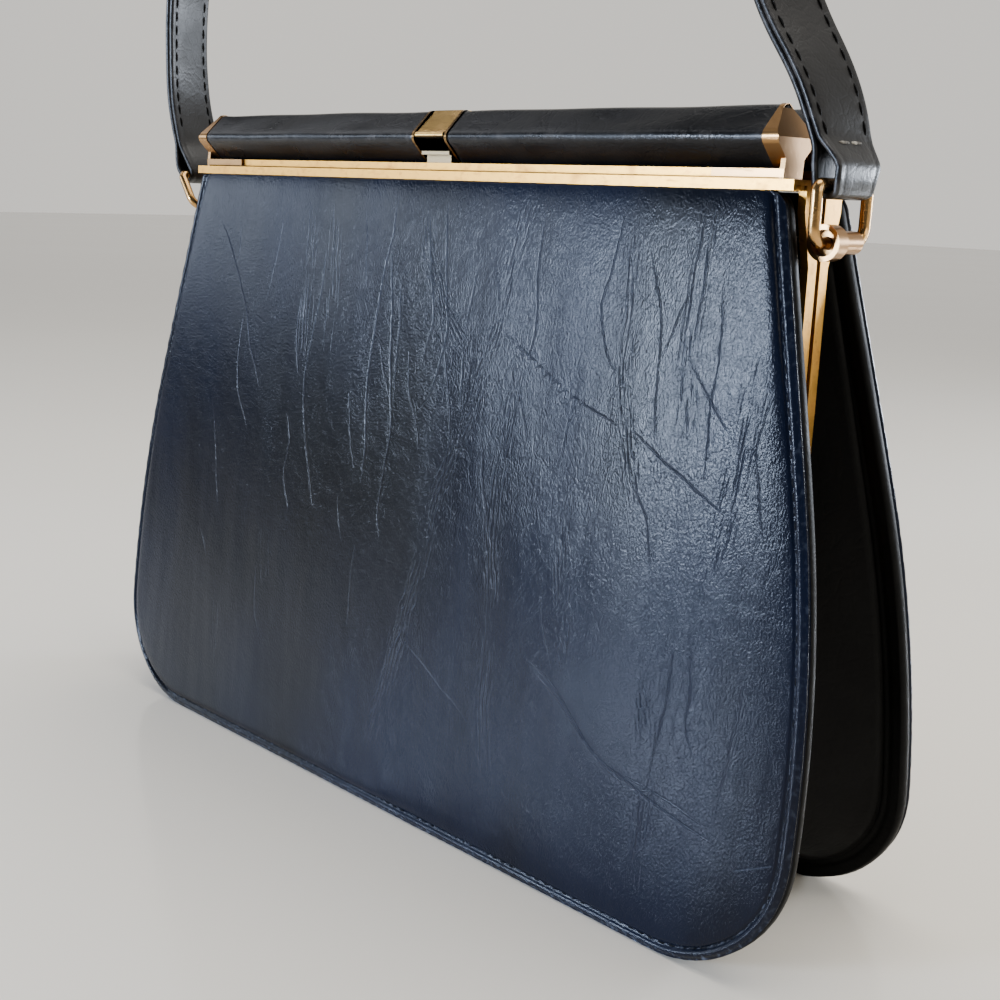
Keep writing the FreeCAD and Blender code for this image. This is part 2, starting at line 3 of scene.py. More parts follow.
import bpy
import numpy as np
from mathutils import Matrix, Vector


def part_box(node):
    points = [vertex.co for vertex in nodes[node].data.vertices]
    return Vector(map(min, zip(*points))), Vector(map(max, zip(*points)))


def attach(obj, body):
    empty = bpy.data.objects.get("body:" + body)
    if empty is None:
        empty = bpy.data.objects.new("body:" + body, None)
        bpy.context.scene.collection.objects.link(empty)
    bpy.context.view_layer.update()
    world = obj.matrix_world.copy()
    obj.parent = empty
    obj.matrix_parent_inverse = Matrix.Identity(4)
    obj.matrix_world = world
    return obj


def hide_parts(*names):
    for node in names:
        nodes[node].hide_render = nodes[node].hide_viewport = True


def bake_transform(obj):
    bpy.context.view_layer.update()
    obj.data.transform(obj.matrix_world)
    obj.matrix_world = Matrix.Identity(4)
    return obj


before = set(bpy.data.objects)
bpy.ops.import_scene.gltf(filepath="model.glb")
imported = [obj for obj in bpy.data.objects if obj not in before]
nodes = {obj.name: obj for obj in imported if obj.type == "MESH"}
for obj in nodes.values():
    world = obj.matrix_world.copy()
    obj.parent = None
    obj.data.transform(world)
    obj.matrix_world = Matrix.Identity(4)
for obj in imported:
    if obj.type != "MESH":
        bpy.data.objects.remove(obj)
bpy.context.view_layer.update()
MM = 0.001

# The panel's outline and lean, as in the solids, in millimetres
half_width = 136.0
top_z = 178.8
base_depth = 32.2
top_depth = 13.7
belly_height = 34.0
belly_radius = 350.0
flare = math.radians(12.0)
top_corner = 4.0
panel_thickness = 5.1
groove_inset = 2.8
lean = math.atan((base_depth - top_depth) / top_z)
panel_length = top_z / math.cos(lean)
belly_center = half_width - belly_radius
flare_u = belly_center + belly_radius * math.cos(flare)
flare_s = belly_height + belly_radius * math.sin(flare)

# The handle's place, as in the solids
handle_y = -1.0
eye_x = 118.138
ring_z = 167.95
ring_height = 12.5
ring_tilt_left = 34.0
wire_radius = 1.35
strap_width = 18.0
strap_arch_rise = 25.9
strap_side_draw = 9.4
strap_bulge = 9.2
strap_right_radius = 4000.0  # the right side is nearly straight


# Mesh helpers

def add_mesh(name, points, faces, material, body=None):
    """A smooth mesh piece from points in metres."""
    mesh = bpy.data.meshes.new(name)
    mesh.from_pydata([tuple(p) for p in points], [], faces)
    mesh.validate()
    mesh.polygons.foreach_set("use_smooth", [True] * len(mesh.polygons))
    obj = bpy.data.objects.new(name, mesh)
    bpy.context.scene.collection.objects.link(obj)
    mesh.materials.append(material)
    if body:
        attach(obj, body)
    return obj


def grid_faces(rows, columns, first=0, flip=False, close_rows=False, close_columns=False):
    """Quads over a grid of points stored row by row."""
    faces = []
    for r in range(rows if close_rows else rows - 1):
        for c in range(columns if close_columns else columns - 1):
            r1 = (r + 1) % rows
            c1 = (c + 1) % columns
            quad = [first + r * columns + c, first + r * columns + c1,
                    first + r1 * columns + c1, first + r1 * columns + c]
            faces.append(quad[::-1] if flip else quad)
    return faces


def border(rows, columns):
    """The grid's border points in order."""
    bottom = list(range(columns))
    right = [r * columns + columns - 1 for r in range(1, rows)]
    top = [(rows - 1) * columns + c for c in range(columns - 2, -1, -1)]
    left = [r * columns for r in range(rows - 2, 0, -1)]
    return bottom + right + top + left


def tube_faces(rings, columns):
    """Quads along a tube of points stored ring by ring, with both ends closed."""
    last = (rings - 1) * columns
    ends = [list(range(columns))[::-1], list(range(last, last + columns))]
    return grid_faces(rings, columns, close_columns=True) + ends


def band_faces(first, second, flip):
    """Quads between two closed loops of points."""
    faces = []
    for i in range(len(first)):
        j = (i + 1) % len(first)
        quad = [first[i], second[i], second[j], first[j]]
        faces.append(quad[::-1] if flip else quad)
    return faces


def sheet_faces(rows, columns, flip=False):
    """Quads of a sheet whose two sides are stored one after the other, with its rim closed."""
    count = rows * columns
    loop = border(rows, columns)
    sides = grid_faces(rows, columns, flip=flip) + grid_faces(rows, columns, first=count, flip=not flip)
    return sides + band_faces(loop, [i + count for i in loop], flip)


def unit(vectors):
    """The rows of an array at length one."""
    return vectors / np.maximum(np.linalg.norm(vectors, axis=-1), 1e-9)[..., None]


def reach_along(path):
    """The distance along a polyline to each of its points."""
    return np.concatenate([[0], np.cumsum(np.linalg.norm(np.diff(path, axis=0), axis=1))])


def resample(path, step):
    """Points at even steps along a polyline."""
    reach = reach_along(path)
    marks = np.arange(0, reach[-1], step)
    return np.stack([np.interp(marks, reach, path[:, k]) for k in range(path.shape[1])], 1)


def smoothed(values):
    """A list of numbers, each averaged with the four on either side."""
    return np.convolve(np.pad(values, 4, "edge"), np.ones(9) / 9, "valid")


def set_values(obj, name, values):
    """A number for each vertex, for the material to read."""
    attribute = obj.data.attributes.new(name, "FLOAT", "POINT")
    attribute.data.foreach_set("value", np.asarray(values, np.float32))


def set_vectors(obj, name, values):
    """Three numbers for each vertex, for the material to read; the vertices after the last value get none."""
    filled = np.zeros((len(obj.data.vertices), 3), np.float32)
    filled[:len(values)] = values
    obj.data.attributes.new(name, "FLOAT_VECTOR", "POINT").data.foreach_set("vector", filled.ravel())


# Material helpers

class Nodes:
    """A node tree with short calls for its nodes."""

    def __init__(self, tree, coordinates):
        self.tree = tree
        self.place = self.add("TexCoord").outputs[coordinates]

    def add(self, kind, inputs=None, **settings):
        node = self.tree.nodes.new("ShaderNode" + kind)
        for key, value in settings.items():
            setattr(node, key, value)
        for key, value in (inputs or {}).items():
            self.put(node.inputs[key], value)
        return node

    def put(self, socket, value):
        if isinstance(value, bpy.types.NodeSocket):
            self.tree.links.new(value, socket)
        else:
            socket.default_value = value

    def math(self, operation, a, b=0.0, c=0.0):
        return self.add("Math", {0: a, 1: b, 2: c}, operation=operation).outputs[0]

    def times(self, a, b):
        return self.math("MULTIPLY", a, b)

    def vector(self, operation, *values):
        return self.add("VectorMath", dict(enumerate(values)), operation=operation).outputs[0]

    def dot(self, a, b):
        return self.add("VectorMath", {0: a, 1: b}, operation="DOT_PRODUCT").outputs["Value"]

    def split(self, vector):
        return self.add("SeparateXYZ", {0: vector}).outputs

    def stretch(self, scale, shift=(0, 0, 0)):
        return self.add("Mapping", {"Vector": self.place, "Scale": scale, "Location": shift}).outputs[0]

    def drifted(self, vector, size, amount, detail):
        """A vector with a slow random drift added."""
        drift = self.add("TexNoise", {"Vector": self.place, "Scale": size, "Detail": detail})
        centred = self.vector("SUBTRACT", drift.outputs["Color"], (0.5,) * 3)
        return self.vector("MULTIPLY_ADD", centred, (amount,) * 3, vector)

    def warped(self, scale, size, amount):
        """Stretched coordinates with a slow random drift."""
        moved = self.drifted(self.place, size, amount, 2.0)
        return self.add("Mapping", {"Vector": moved, "Scale": scale}).outputs[0]

    def noise(self, vector, scale, detail=2.0, roughness=0.5):
        return self.add("TexNoise", {"Vector": vector, "Scale": scale, "Detail": detail,
                                     "Roughness": roughness}).outputs["Fac"]

    def cells(self, vector, scale, feature):
        return self.add("TexVoronoi", {"Vector": vector, "Scale": scale}, feature=feature).outputs["Distance"]

    def between(self, value, low, high, out_low=0.0, out_high=1.0):
        inputs = {"Value": value, "From Min": low, "From Max": high, "To Min": out_low, "To Max": out_high}
        return self.add("MapRange", inputs, interpolation_type="SMOOTHSTEP").outputs[0]

    def mix(self, factor, a, b):
        return self.add("Mix", {0: factor, 6: a, 7: b}, data_type="RGBA").outputs[2]

    def lanes(self, name, wander, repeat=None):
        """The ridges of the creases that a mesh holds in three lanes, and the furrows beside them."""
        lane = self.add("Attribute", attribute_name=name + "_lane").outputs["Vector"]
        gain = self.add("Attribute", attribute_name=name + "_gain").outputs["Vector"]
        for scale, amount in ((90.0, wander), (420.0, wander * 0.3)):
            lane = self.drifted(lane, scale, amount, 1.0)
        if repeat:
            aside = self.math("SUBTRACT", self.noise(self.stretch((520, 1, 75), (3, 0, 1)), 1.0, 1.0), 0.5)
            lane = self.vector("MULTIPLY_ADD", aside, (2.2,) * 3, lane)
            gate = self.noise(self.stretch((620, 1, 55)), 1.0, 1.0)
            gain = self.vector("MULTIPLY", gain, self.between(gate, 0.4, 0.62))
            lane = self.vector("WRAP", lane, (repeat / 2,) * 3, (-repeat / 2,) * 3)
        away = self.vector("ABSOLUTE", lane)
        found = []
        for near, far in ((0.0, 0.24), (0.12, 0.62)):
            inputs = {6: away, 7: (near,) * 3, 8: (far,) * 3, 9: (1.0,) * 3, 10: (0.0,) * 3}
            level = self.add("MapRange", inputs, data_type="FLOAT_VECTOR",
                             interpolation_type="SMOOTHSTEP").outputs[1]
            found.append(self.dot(level, gain))
        return found

    def segment(self, start, end, width):
        """One on a line between two spots of the front face in millimetres, nothing away from it."""
        du, ds = end[0] - start[0], end[1] - start[1]
        length = math.hypot(du, ds)
        ahead = (du / length, 0.0, ds / length)
        aside = (-ds / length, 0.0, du / length)
        middle = (start[0] * ahead[0] + start[1] * ahead[2] + length / 2) * MM
        level = (start[0] * aside[0] + start[1] * aside[2]) * MM
        half = length * MM / 2
        along = self.math("ABSOLUTE", self.math("SUBTRACT", self.dot(self.place, ahead), middle))
        off = self.math("ABSOLUTE", self.math("SUBTRACT", self.dot(self.place, aside), level))
        return self.times(self.between(off, 0.0, width * MM, 1.0, 0.0),
                          self.between(along, half * 0.8, half, 1.0, 0.0))

    def value(self, name):
        return self.add("Attribute", attribute_name=name).outputs["Fac"]

    def bump(self, height, distance, strength, normal=None):
        inputs = {"Height": height, "Distance": distance, "Strength": strength}
        if normal is not None:
            inputs["Normal"] = normal
        return self.add("Bump", inputs).outputs[0]


class Shader(Nodes):
    """A material's nodes."""

    def __init__(self, name):
        self.material = bpy.data.materials.new(name)
        self.material.use_nodes = True
        super().__init__(self.material.node_tree, "Object")

    def set(self, **values):
        shader = self.tree.nodes["Principled BSDF"]
        for key, value in values.items():
            self.put(shader.inputs[key.replace("_", " ")], value)
        return self.material


def rgb(*levels):
    """An sRGB colour from 0 to 255 as linear light."""
    shares = [level / 255 for level in levels]
    return tuple(((v + 0.055) / 1.055) ** 2.4 if v > 0.04 else v / 12.92 for v in shares) + (1.0,)


# Materials

def creased_leather(name, dark, navy, worn):
    """Glossy leather with drawn creases, grain and worn edges, and finer wrinkles by the value "crease"; the
    crease ridges are lightened as a painted highlight, partly wear, and the tint value paints shade in the
    middle left.
    """
    sh = Shader(name)
    region = sh.math("MULTIPLY_ADD", sh.value("crease"), 0.9, 0.1)
    ridge, furrow = sh.lanes("single", 1.5)
    ridges, furrows = sh.lanes("bundle", 1.3, 1.35)
    ridge = sh.math("ADD", ridge, sh.times(ridges, 0.95))
    furrow = sh.math("ADD", furrow, furrows)
    height = sh.math("MULTIPLY_ADD", furrow, -0.8, sh.times(ridge, 1.8))
    net = sh.cells(sh.warped((430, 430, 150), 70, 0.007), 1.0, "DISTANCE_TO_EDGE")
    net = sh.times(sh.between(net, 0.0, 0.08, 1.0, 0.0), region)
    height = sh.math("MULTIPLY_ADD", net, -0.25, height)
    contour = sh.noise(sh.warped((260, 260, 95), 90, 0.006), 1.0, 1.0)
    wrinkle = sh.math("ABSOLUTE", sh.math("SUBTRACT", contour, 0.5))
    wrinkle = sh.times(sh.between(wrinkle, 0.0, 0.05, 1.0, 0.0), region)
    height = sh.math("MULTIPLY_ADD", wrinkle, 0.2, height)
    grain = sh.noise(sh.warped((2300, 2300, 1300), 200, 0.002), 1.0, 2.0, 0.6)
    height = sh.math("MULTIPLY_ADD", grain, 1.25, height)
    slow = sh.noise(sh.stretch((60, 60, 11)), 1.0, 2.0)
    swell = sh.bump(slow, 0.0012, 0.5)
    patch = sh.between(sh.noise(sh.stretch((16, 9, 6)), 1.0, 3.0), 0.34, 0.64, 0.2, 1.0)
    # Near black to navy: partly the leather's own tone, partly painted shade in the middle left
    colour = sh.mix(sh.times(patch, sh.value("tint_and_shade")), dark, navy)
    # Crease ridges lightened towards the last colour: a painted highlight, partly wear
    colour = sh.mix(sh.times(ridge, 0.1), colour, worn)
    scratch = sh.segment((122.7, 28.2), (132.2, 32.8), 0.3)
    colour = sh.mix(sh.times(scratch, 0.13), colour, worn)
    scuff = sh.between(sh.noise(sh.place, 700.0, 3.0), 0.5, 0.72)
    edge = sh.times(sh.value("edge"), scuff)
    colour = sh.mix(sh.times(edge, 0.4), colour, worn)
    rough = sh.between(sh.noise(sh.stretch((30, 30, 14), (5, 2, 0)), 1.0, 3.0), 0.3, 0.7, 0.18, 0.25)
    return sh.set(Base_Color=colour, Roughness=rough, Normal=sh.bump(height, 0.0001, 0.8, swell),
                  Specular_IOR_Level=0.16)


def smooth_leather(name, dark, light, roughness, grain_size, shine):
    """Plain leather with a fine grain, small dents and scuffed edges."""
    sh = Shader(name)
    patch = sh.between(sh.noise(sh.place, 30.0, 3.0), 0.35, 0.7)
    grain = sh.cells(sh.place, grain_size, "SMOOTH_F1")
    net = sh.cells(sh.warped((240, 240, 240), 70, 0.008), 1.0, "DISTANCE_TO_EDGE")
    net = sh.between(net, 0.0, 0.12, 1.0, 0.0)
    dents = sh.noise(sh.place, 120.0, 3.0)
    height = sh.math("MULTIPLY_ADD", grain, -0.22, sh.times(dents, 0.8))
    height = sh.math("MULTIPLY_ADD", net, -0.12, height)
    scuff = sh.between(sh.noise(sh.place, 300.0, 3.0), 0.45, 0.7)
    worn = sh.times(sh.times(sh.value("edge"), scuff), 0.45)
    colour = sh.mix(worn, sh.mix(patch, dark, light), rgb(96, 92, 90))
    rough = sh.between(sh.noise(sh.place, 55.0, 3.0), 0.3, 0.7, roughness - 0.06, roughness + 0.08)
    return sh.set(Base_Color=colour, Roughness=rough, Normal=sh.bump(height, 0.00025, 0.6),
                  Specular_IOR_Level=shine)


def gold_metal(name, colour, dull, roughness, pitted=0.0, shade_inside=None):
    """Plated metal with fine brushing, small scratches and dull spots, corners darkened as painted shade with
    some dirt, and chosen faces painted dark as shade.
    """
    sh = Shader(name)
    spots = sh.between(sh.noise(sh.place, 130.0, 3.0, 0.5), 0.5, 0.8)
    brush = sh.noise(sh.stretch((160, 1100, 1100)), 1.0, 2.0)
    scratch = sh.between(sh.noise(sh.stretch((130, 900, 900), (2, 5, 1)), 1.0, 4.0), 0.6, 0.72)
    base = sh.mix(sh.times(spots, 0.55), colour, dull)
    height = sh.math("MULTIPLY_ADD", scratch, -0.6, sh.times(brush, 0.35))
    if pitted:
        worn = sh.noise(sh.stretch((420, 700, 700), (4, 1, 8)), 1.0, 3.0, 0.6)
        height = sh.math("MULTIPLY_ADD", worn, pitted, height)
        base = sh.mix(sh.between(worn, 0.5, 0.72, 0.0, 0.5), base, dull)
    # Corners and crevices darkened towards dark brown: painted shade, with some dirt
    corner = sh.add("AmbientOcclusion", {"Distance": 0.0016}, samples=6).outputs["AO"]
    base = sh.mix(sh.between(corner, 0.25, 0.8, 0.85, 0.0), base, rgb(40, 28, 16))
    # Painted shade: near black on the rims' end faces inside the clasp's gap, and on the clasp plate's under
    # faces and the hollow behind its front edge
    if shade_inside:
        normal = sh.split(sh.add("TexCoord").outputs["Normal"])
        spot = sh.split(sh.place)
        if shade_inside == "ends":
            dark = sh.between(sh.math("ABSOLUTE", normal[0]), 0.7, 0.9)
        else:
            shaded_under = sh.between(normal[2], -0.4, -0.2, 1.0, 0.0)
            shaded_hollow = sh.times(sh.between(spot[1], -0.006, -0.003),
                              sh.between(spot[2], 0.1958, 0.1966, 1.0, 0.0))
            dark = sh.math("MAXIMUM", shaded_under, shaded_hollow)
        base = sh.mix(dark, base, rgb(12, 9, 7))
    rough = sh.math("MULTIPLY_ADD", spots, 0.14, roughness)
    rough = sh.math("MULTIPLY_ADD", scratch, 0.08, rough)
    return sh.set(Base_Color=base, Metallic=1.0, Roughness=rough, Normal=sh.bump(height, 0.00003, 0.5))


def thread(name, colour, tip):
    """Twisted sewing thread."""
    sh = Shader(name)
    twist = sh.noise(sh.stretch((2600, 2600, 2600)), 1.0, 1.0)
    base = sh.mix(sh.between(sh.noise(sh.place, 420.0, 2.0), 0.45, 0.7), colour, tip)
    return sh.set(Base_Color=base, Roughness=0.7, Normal=sh.bump(twist, 0.0001, 0.6),
                  Specular_IOR_Level=0.12)


def lining_cloth(name, colour, light):
    """Ribbed lining cloth."""
    sh = Shader(name)
    spot = sh.split(sh.place)
    ribs = sh.math("SINE", sh.times(spot[2], 6200.0))
    weft = sh.math("SINE", sh.times(spot[0], 9800.0))
    height = sh.math("MULTIPLY_ADD", weft, 0.4, ribs)
    base = sh.mix(sh.between(sh.noise(sh.place, 45.0, 3.0), 0.35, 0.7), colour, light)
    return sh.set(Base_Color=base, Roughness=0.6, Normal=sh.bump(height, 0.00008, 0.5), Sheen_Weight=0.25)


# The last colour serves the worn edges and the scratch, and the painted highlight on the crease ridges
navy = creased_leather("navy_creased_leather", rgb(6, 7, 9), rgb(14, 21, 38), rgb(128, 138, 156))
roll_skin = smooth_leather("roll_leather", rgb(7, 7, 8), rgb(14, 14, 16), 0.29, 1700.0, 0.26)
strap_skin = smooth_leather("strap_leather", rgb(12, 11, 11), rgb(26, 24, 23), 0.38, 1300.0, 0.3)
black = smooth_leather("black_leather", rgb(3, 3, 3), rgb(7, 7, 7), 0.5, 1100.0, 0.1)
gold = gold_metal("pale_gold", rgb(190, 148, 92), rgb(132, 96, 60), 0.23)
frame_gold = gold_metal("worn_gold", rgb(220, 164, 74), rgb(166, 114, 60), 0.36, 1.6)
cap_gold = gold_metal("cap_gold", rgb(158, 120, 76), rgb(112, 80, 50), 0.28)
# A darker copy of the gold: painted shade for the inner rims, which sit in shadow
shaded_rim_gold = gold_metal("shaded_rim_gold", rgb(128, 100, 62), rgb(96, 72, 44), 0.2, 0.0, "ends")
clasp_gold = gold_metal("clasp_gold", rgb(250, 204, 122), rgb(184, 138, 84), 0.2, 0.5, "shaded_under")
keeper_gold = gold_metal("keeper_gold", rgb(152, 134, 104), rgb(104, 86, 62), 0.24)
pin_gold = gold_metal("pin_gold", rgb(214, 174, 110), rgb(140, 104, 66), 0.26)
stitch_thread = thread("navy_thread", rgb(13, 14, 18), rgb(62, 66, 76))
# Pale thread: its light colour is a painted highlight for the cross stitches' glint
glint_thread = thread("pale_glint_thread", rgb(84, 80, 74), rgb(176, 172, 162))
strap_thread = thread("black_thread", rgb(6, 6, 6), rgb(16, 15, 14))
cloth = lining_cloth("lining_cloth", rgb(22, 22, 26), rgb(36, 36, 41))


# Panels

def panel_half_width(s):
    """Half the panel's width at height s up its face."""
    if s < belly_height:
        return half_width - belly_height + math.sqrt(max(0.0, belly_height ** 2 - (belly_height - s) ** 2))
    if s < flare_s:
        return belly_center + math.sqrt(belly_radius ** 2 - (s - belly_height) ** 2)
    share = (s - flare_s) / (panel_length - flare_s)
    drawn_in = 2.6 * share ** 1.5 - 0.8 * share ** 3
    return flare_u - (s - flare_s) * math.tan(flare) - drawn_in


def corner_width(s):
    """Half the panel's width with its top corners rounded."""
    left_over = panel_length - s
    rounding = 0.0
    if left_over < top_corner:
        rounding = top_corner - math.sqrt(max(0.0, top_corner ** 2 - (top_corner - left_over) ** 2))
    return panel_half_width(s) - rounding * 0.8


def panel_outline():
    """Points along the panel's sides and bottom, close together, from the top left round to the top right."""
    heights = np.concatenate([np.linspace(0, belly_height, 160) ** 2 / belly_height,
                              np.linspace(belly_height, panel_length + 12, 280)[1:]])
    right = [(panel_half_width(s), s) for s in heights]
    left = [(-u, s) for u, s in reversed(right)]
    bottom = [(u, 0.0) for u in np.linspace(left[-1][0], right[0][0], 300)[1:-1]]
    return np.array(left + bottom + right)


outline = panel_outline()


def edge_distance(points):
    """How far points of the face are from the sides and the bottom."""
    found = []
    for chunk in np.array_split(np.asarray(points), 40):
        gap = chunk[:, None, :] - outline[None, :, :]
        found.append(np.sqrt((gap ** 2).sum(2)).min(1))
    return np.concatenate(found)


def panel_point(u, s, n, front):
    """A point of a panel in metres: u across, s up, n inwards from the outer face."""
    y = base_depth - s * math.sin(lean) - n * math.cos(lean)
    z = s * math.cos(lean) - n * math.sin(lean)
    return np.stack([u * MM, (-y if front else y) * MM, np.maximum(z, 0.02) * MM], -1)


edge_steps = np.array([0, .2, .45, .8, 1.2, 1.7, 2.3, 2.9, 3.4, 3.8, 4.15, 4.45, 4.75, 5.05, 5.35, 5.7,
                       6.2, 7.0, 8.2, 10, 12.5, 15.5, 19])


def face_grid(inset):
    """Across and up values of a panel's face as two grids, dense along the edges."""
    rows_between, columns_between = 100, 146
    from_top = np.array([7, 5, 3.6, 2.6, 1.8, 1.1, .5, 0])
    middle = np.linspace(edge_steps[-1], panel_length - from_top[0], rows_between)
    rise = np.concatenate([edge_steps, middle[1:], panel_length - from_top[1:]])
    rise = inset + rise * (panel_length - 2 * inset) / panel_length
    across = []
    for s in rise:
        wide = corner_width(s) - inset
        middle = np.linspace(-1, 1, columns_between)[1:-1] * (wide - edge_steps[-1])
        across.append(np.concatenate([edge_steps - wide, middle, (wide - edge_steps)[::-1]]))
    return np.array(across), np.repeat(rise[:, None], len(across[0]), 1)


def wave(u, s, seed):
    """A slow swell of the leather, about -1 to 1."""
    return (np.sin(u * 0.047 + seed) * np.sin(s * 0.036 + 1.7 * seed)
            + 0.6 * np.sin(u * 0.113 + 0.02 * s + 2.1 * seed) * np.sin(s * 0.058 + seed)) / 1.6


# Creases of the front's leather: strength, then across and up values along each
single_creases = (
    (0.6, -97, 166, -89, 156, -80, 140, -76, 128, -68, 112), (0.4, -85, 166, -85, 155, -87, 149),
    (0.5, -80, 139, -82, 124, -81, 114, -73, 99), (0.3, -94, 107, -90, 92, -86, 68),
    (0.4, -63, 172, -65, 157, -70, 139), (0.9, -42, 160, -42, 148, -46.5, 125, -47, 116, -45, 105, -37, 80),
    (0.6, -52, 146, -53, 130, -50, 119), (0.6, -54, 110, -51.5, 100, -53.5, 89, -48, 76),
    (0.5, -26, 173, -24, 165, -22, 147),
    (1.0, -12, 177, -12.5, 165, -16, 146, -18, 128, -17.5, 116, -16, 104, -17, 91),
    (1.0, -12.5, 162, -10, 143, -9, 131, -6, 110, -9, 88, -6, 76), (0.6, -15, 136, -11, 125, -8, 118),
    (0.7, -7.5, 154, -6.5, 133, -6.5, 116), (0.5, -26, 121, -24, 108, -20, 94),
    (0.4, -27, 91, -25.5, 80, -22, 73), (0.8, 1, 173, 4, 158, 7.5, 141, 3, 128),
    (0.9, 8, 176, 10.5, 152, 13.2, 142, 12, 133, 9, 123, 3, 115), (0.6, -2, 135, -1, 123, 4, 114, 6, 104),
    (0.9, 19, 138, 20.5, 127, 20.5, 117), (0.7, 22, 160, 21.5, 150, 19, 137),
    (0.6, 28, 159, 31, 152, 30, 143), (0.8, 44, 175, 43, 160, 45, 144, 42, 131),
    (0.6, 30, 112, 32, 102, 37, 85), (0.7, 40, 129, 46, 117, 48, 110), (0.6, 60, 130, 59, 118, 58, 109),
    (0.8, 69, 176, 68, 165, 64.5, 152, 68, 139, 75, 134), (0.8, 77, 167, 84, 149, 84.5, 131, 87, 119),
    (0.7, 92, 160, 88, 150, 84, 139), (0.8, 99, 160, 101, 144, 100, 130, 102, 112),
    (0.7, 91, 143, 98, 135, 108, 124), (0.9, 78, 124, 88, 118, 101, 111, 110, 107),
    (0.7, 79, 113, 87, 104, 91, 88), (0.8, 117, 141, 113.5, 125, 117, 109, 119, 102),
    (0.5, 123, 112, 123, 100, 120, 91), (0.7, 100, 77, 100, 62, 97, 38),
    (0.7, 104, 79, 106, 65, 105, 58, 110, 50), (0.5, 119, 75, 119, 62, 116, 38),
    (0.5, 124, 67, 128, 57, 132, 51), (0.3, 5, 53, 20, 46, 39, 35), (0.5, 57, 80, 60, 68, 66, 57),
    (0.4, -97, 67, -92, 58, -90, 52), (0.4, -17, 77, -17.5, 62, -17, 48), (0.3, -63, 62, -63, 45, -57, 33),
    (0.5, 12, 137, 14, 128, 18, 114, 16, 96), (0.7, 33, 142, 47, 134.5, 60, 128, 77, 122.5),
    (0.5, 36, 140, 48, 132.5, 62, 125.5), (0.8, 53, 61, 66, 56, 80, 43, 98, 37, 119, 32),
    (0.6, 57, 58, 68, 53, 82, 41, 99, 35.5), (0.5, 88, 40.5, 104, 38.5, 116, 35))
bundled_creases = (
    (0.9, -50, 174, -49, 148, -48.5, 136, -49, 124), (0.8, -39, 174, -38, 156, -36.5, 141, -37.5, 127),
    (0.8, 0, 174, 3, 160, 10, 147, 22, 134),
    (1.0, 39, 178, 33, 152, 30, 139, 24.5, 121, 20, 108, 15, 95, 11, 75, 5, 51, 2, 35, -4, 15),
    (1.0, 41, 134, 40, 122, 37, 103, 36.5, 90, 40, 73, 41, 50, 41, 40, 45, 23),
    (1.0, 72, 172, 74, 150, 73.5, 140, 75.5, 130, 80, 114, 84, 103),
    (0.9, 93, 178, 92.5, 155, 92, 145, 93, 135, 96, 121), (0.9, 113, 148, 110.5, 125, 109, 112, 105.5, 91),
    (0.8, 59, 111, 62, 94, 64.5, 80, 71, 57), (0.7, 90, 68, 95, 55, 97, 35, 97, 10),
    (0.3, -84, 54, -83, 35, -79, 11), (0.3, -61, 77, -60, 62, -57, 48))


def crease_lines(paths, front):
    """Each crease as even points with its strength, which fades out at both ends."""
    fade = 9
    # The back has the front's creases turned over
    back_turn, back_scale = np.array([-4.0, 182.0]), (0.92, 1.0)
    found = []
    for strength, *numbers in paths:
        line = np.array(numbers, float).reshape(-1, 2)
        if not front:
            line = back_turn - line * back_scale
        line = resample(line, 1.0)
        smooth = np.stack([smoothed(line[:, k]) for k in (0, 1)], 1)
        from_end = np.minimum(np.arange(len(line)), np.arange(len(line))[::-1])
        found.append((smooth, strength * np.clip(from_end / fade, 0, 1)))
    return found


def crease_lanes(points, paths, front):
    """Each point's millimetres from the nearest crease of each of three lanes, and the strength there."""
    reach, fade, farthest = 3.6, 1.6, 6
    lanes = [[], [], []]
    for line, gain in crease_lines(paths, front):
        room = []
        for lane in lanes:
            gaps = [np.linalg.norm(line[:, None] - other[None], axis=2).min() for other, _ in lane]
            room.append(min(gaps, default=99.0))
        lanes[int(np.argmax(room))].append((line, gain))
    offsets, gains = [], []
    for lane in lanes:
        line = np.concatenate([path for path, _ in lane])
        ahead = unit(np.concatenate([np.gradient(path, axis=0) for path, _ in lane]))
        strength = np.concatenate([gain for _, gain in lane])
        off, here = [], []
        for chunk in np.array_split(points, 40):
            apart = np.linalg.norm(chunk[:, None] - line[None], axis=2)
            nearest = apart.argmin(1)
            gap = chunk - line[nearest]
            off.append(ahead[nearest, 0] * gap[:, 1] - ahead[nearest, 1] * gap[:, 0])
            here.append(strength[nearest] * np.clip((reach - apart.min(1)) / fade, 0, 1))
        offsets.append(np.clip(np.concatenate(off), -farthest, farthest))
        gains.append(np.concatenate(here))
    return np.stack(offsets, 1), np.stack(gains, 1)


def crease_strength(u, s):
    """How finely creased the leather is over a panel's face."""
    spots = ((70, 122, 58, 48, 0.9), (104, 60, 22, 26, 0.6), (0, 140, 40, 40, 0.4))
    found = [k * np.exp(-((u - a) / wide) ** 2 - ((s - b) / tall) ** 2) for a, b, wide, tall, k in spots]
    return np.clip(0.12 + sum(found), 0, 1)


def blue_tint_and_shade(u, s):
    """How blue the leather is: nearly black in the middle left, which is painted shade for a dark reflection
    there, bluest to the lower right.
    """
    dark = 0.85 * np.exp(-((u + 22) / 48) ** 2 - ((s - 98) / 40) ** 2)
    return np.clip(0.95 - dark - 0.25 * np.exp(-((u + 110) / 40) ** 2), 0, 1)


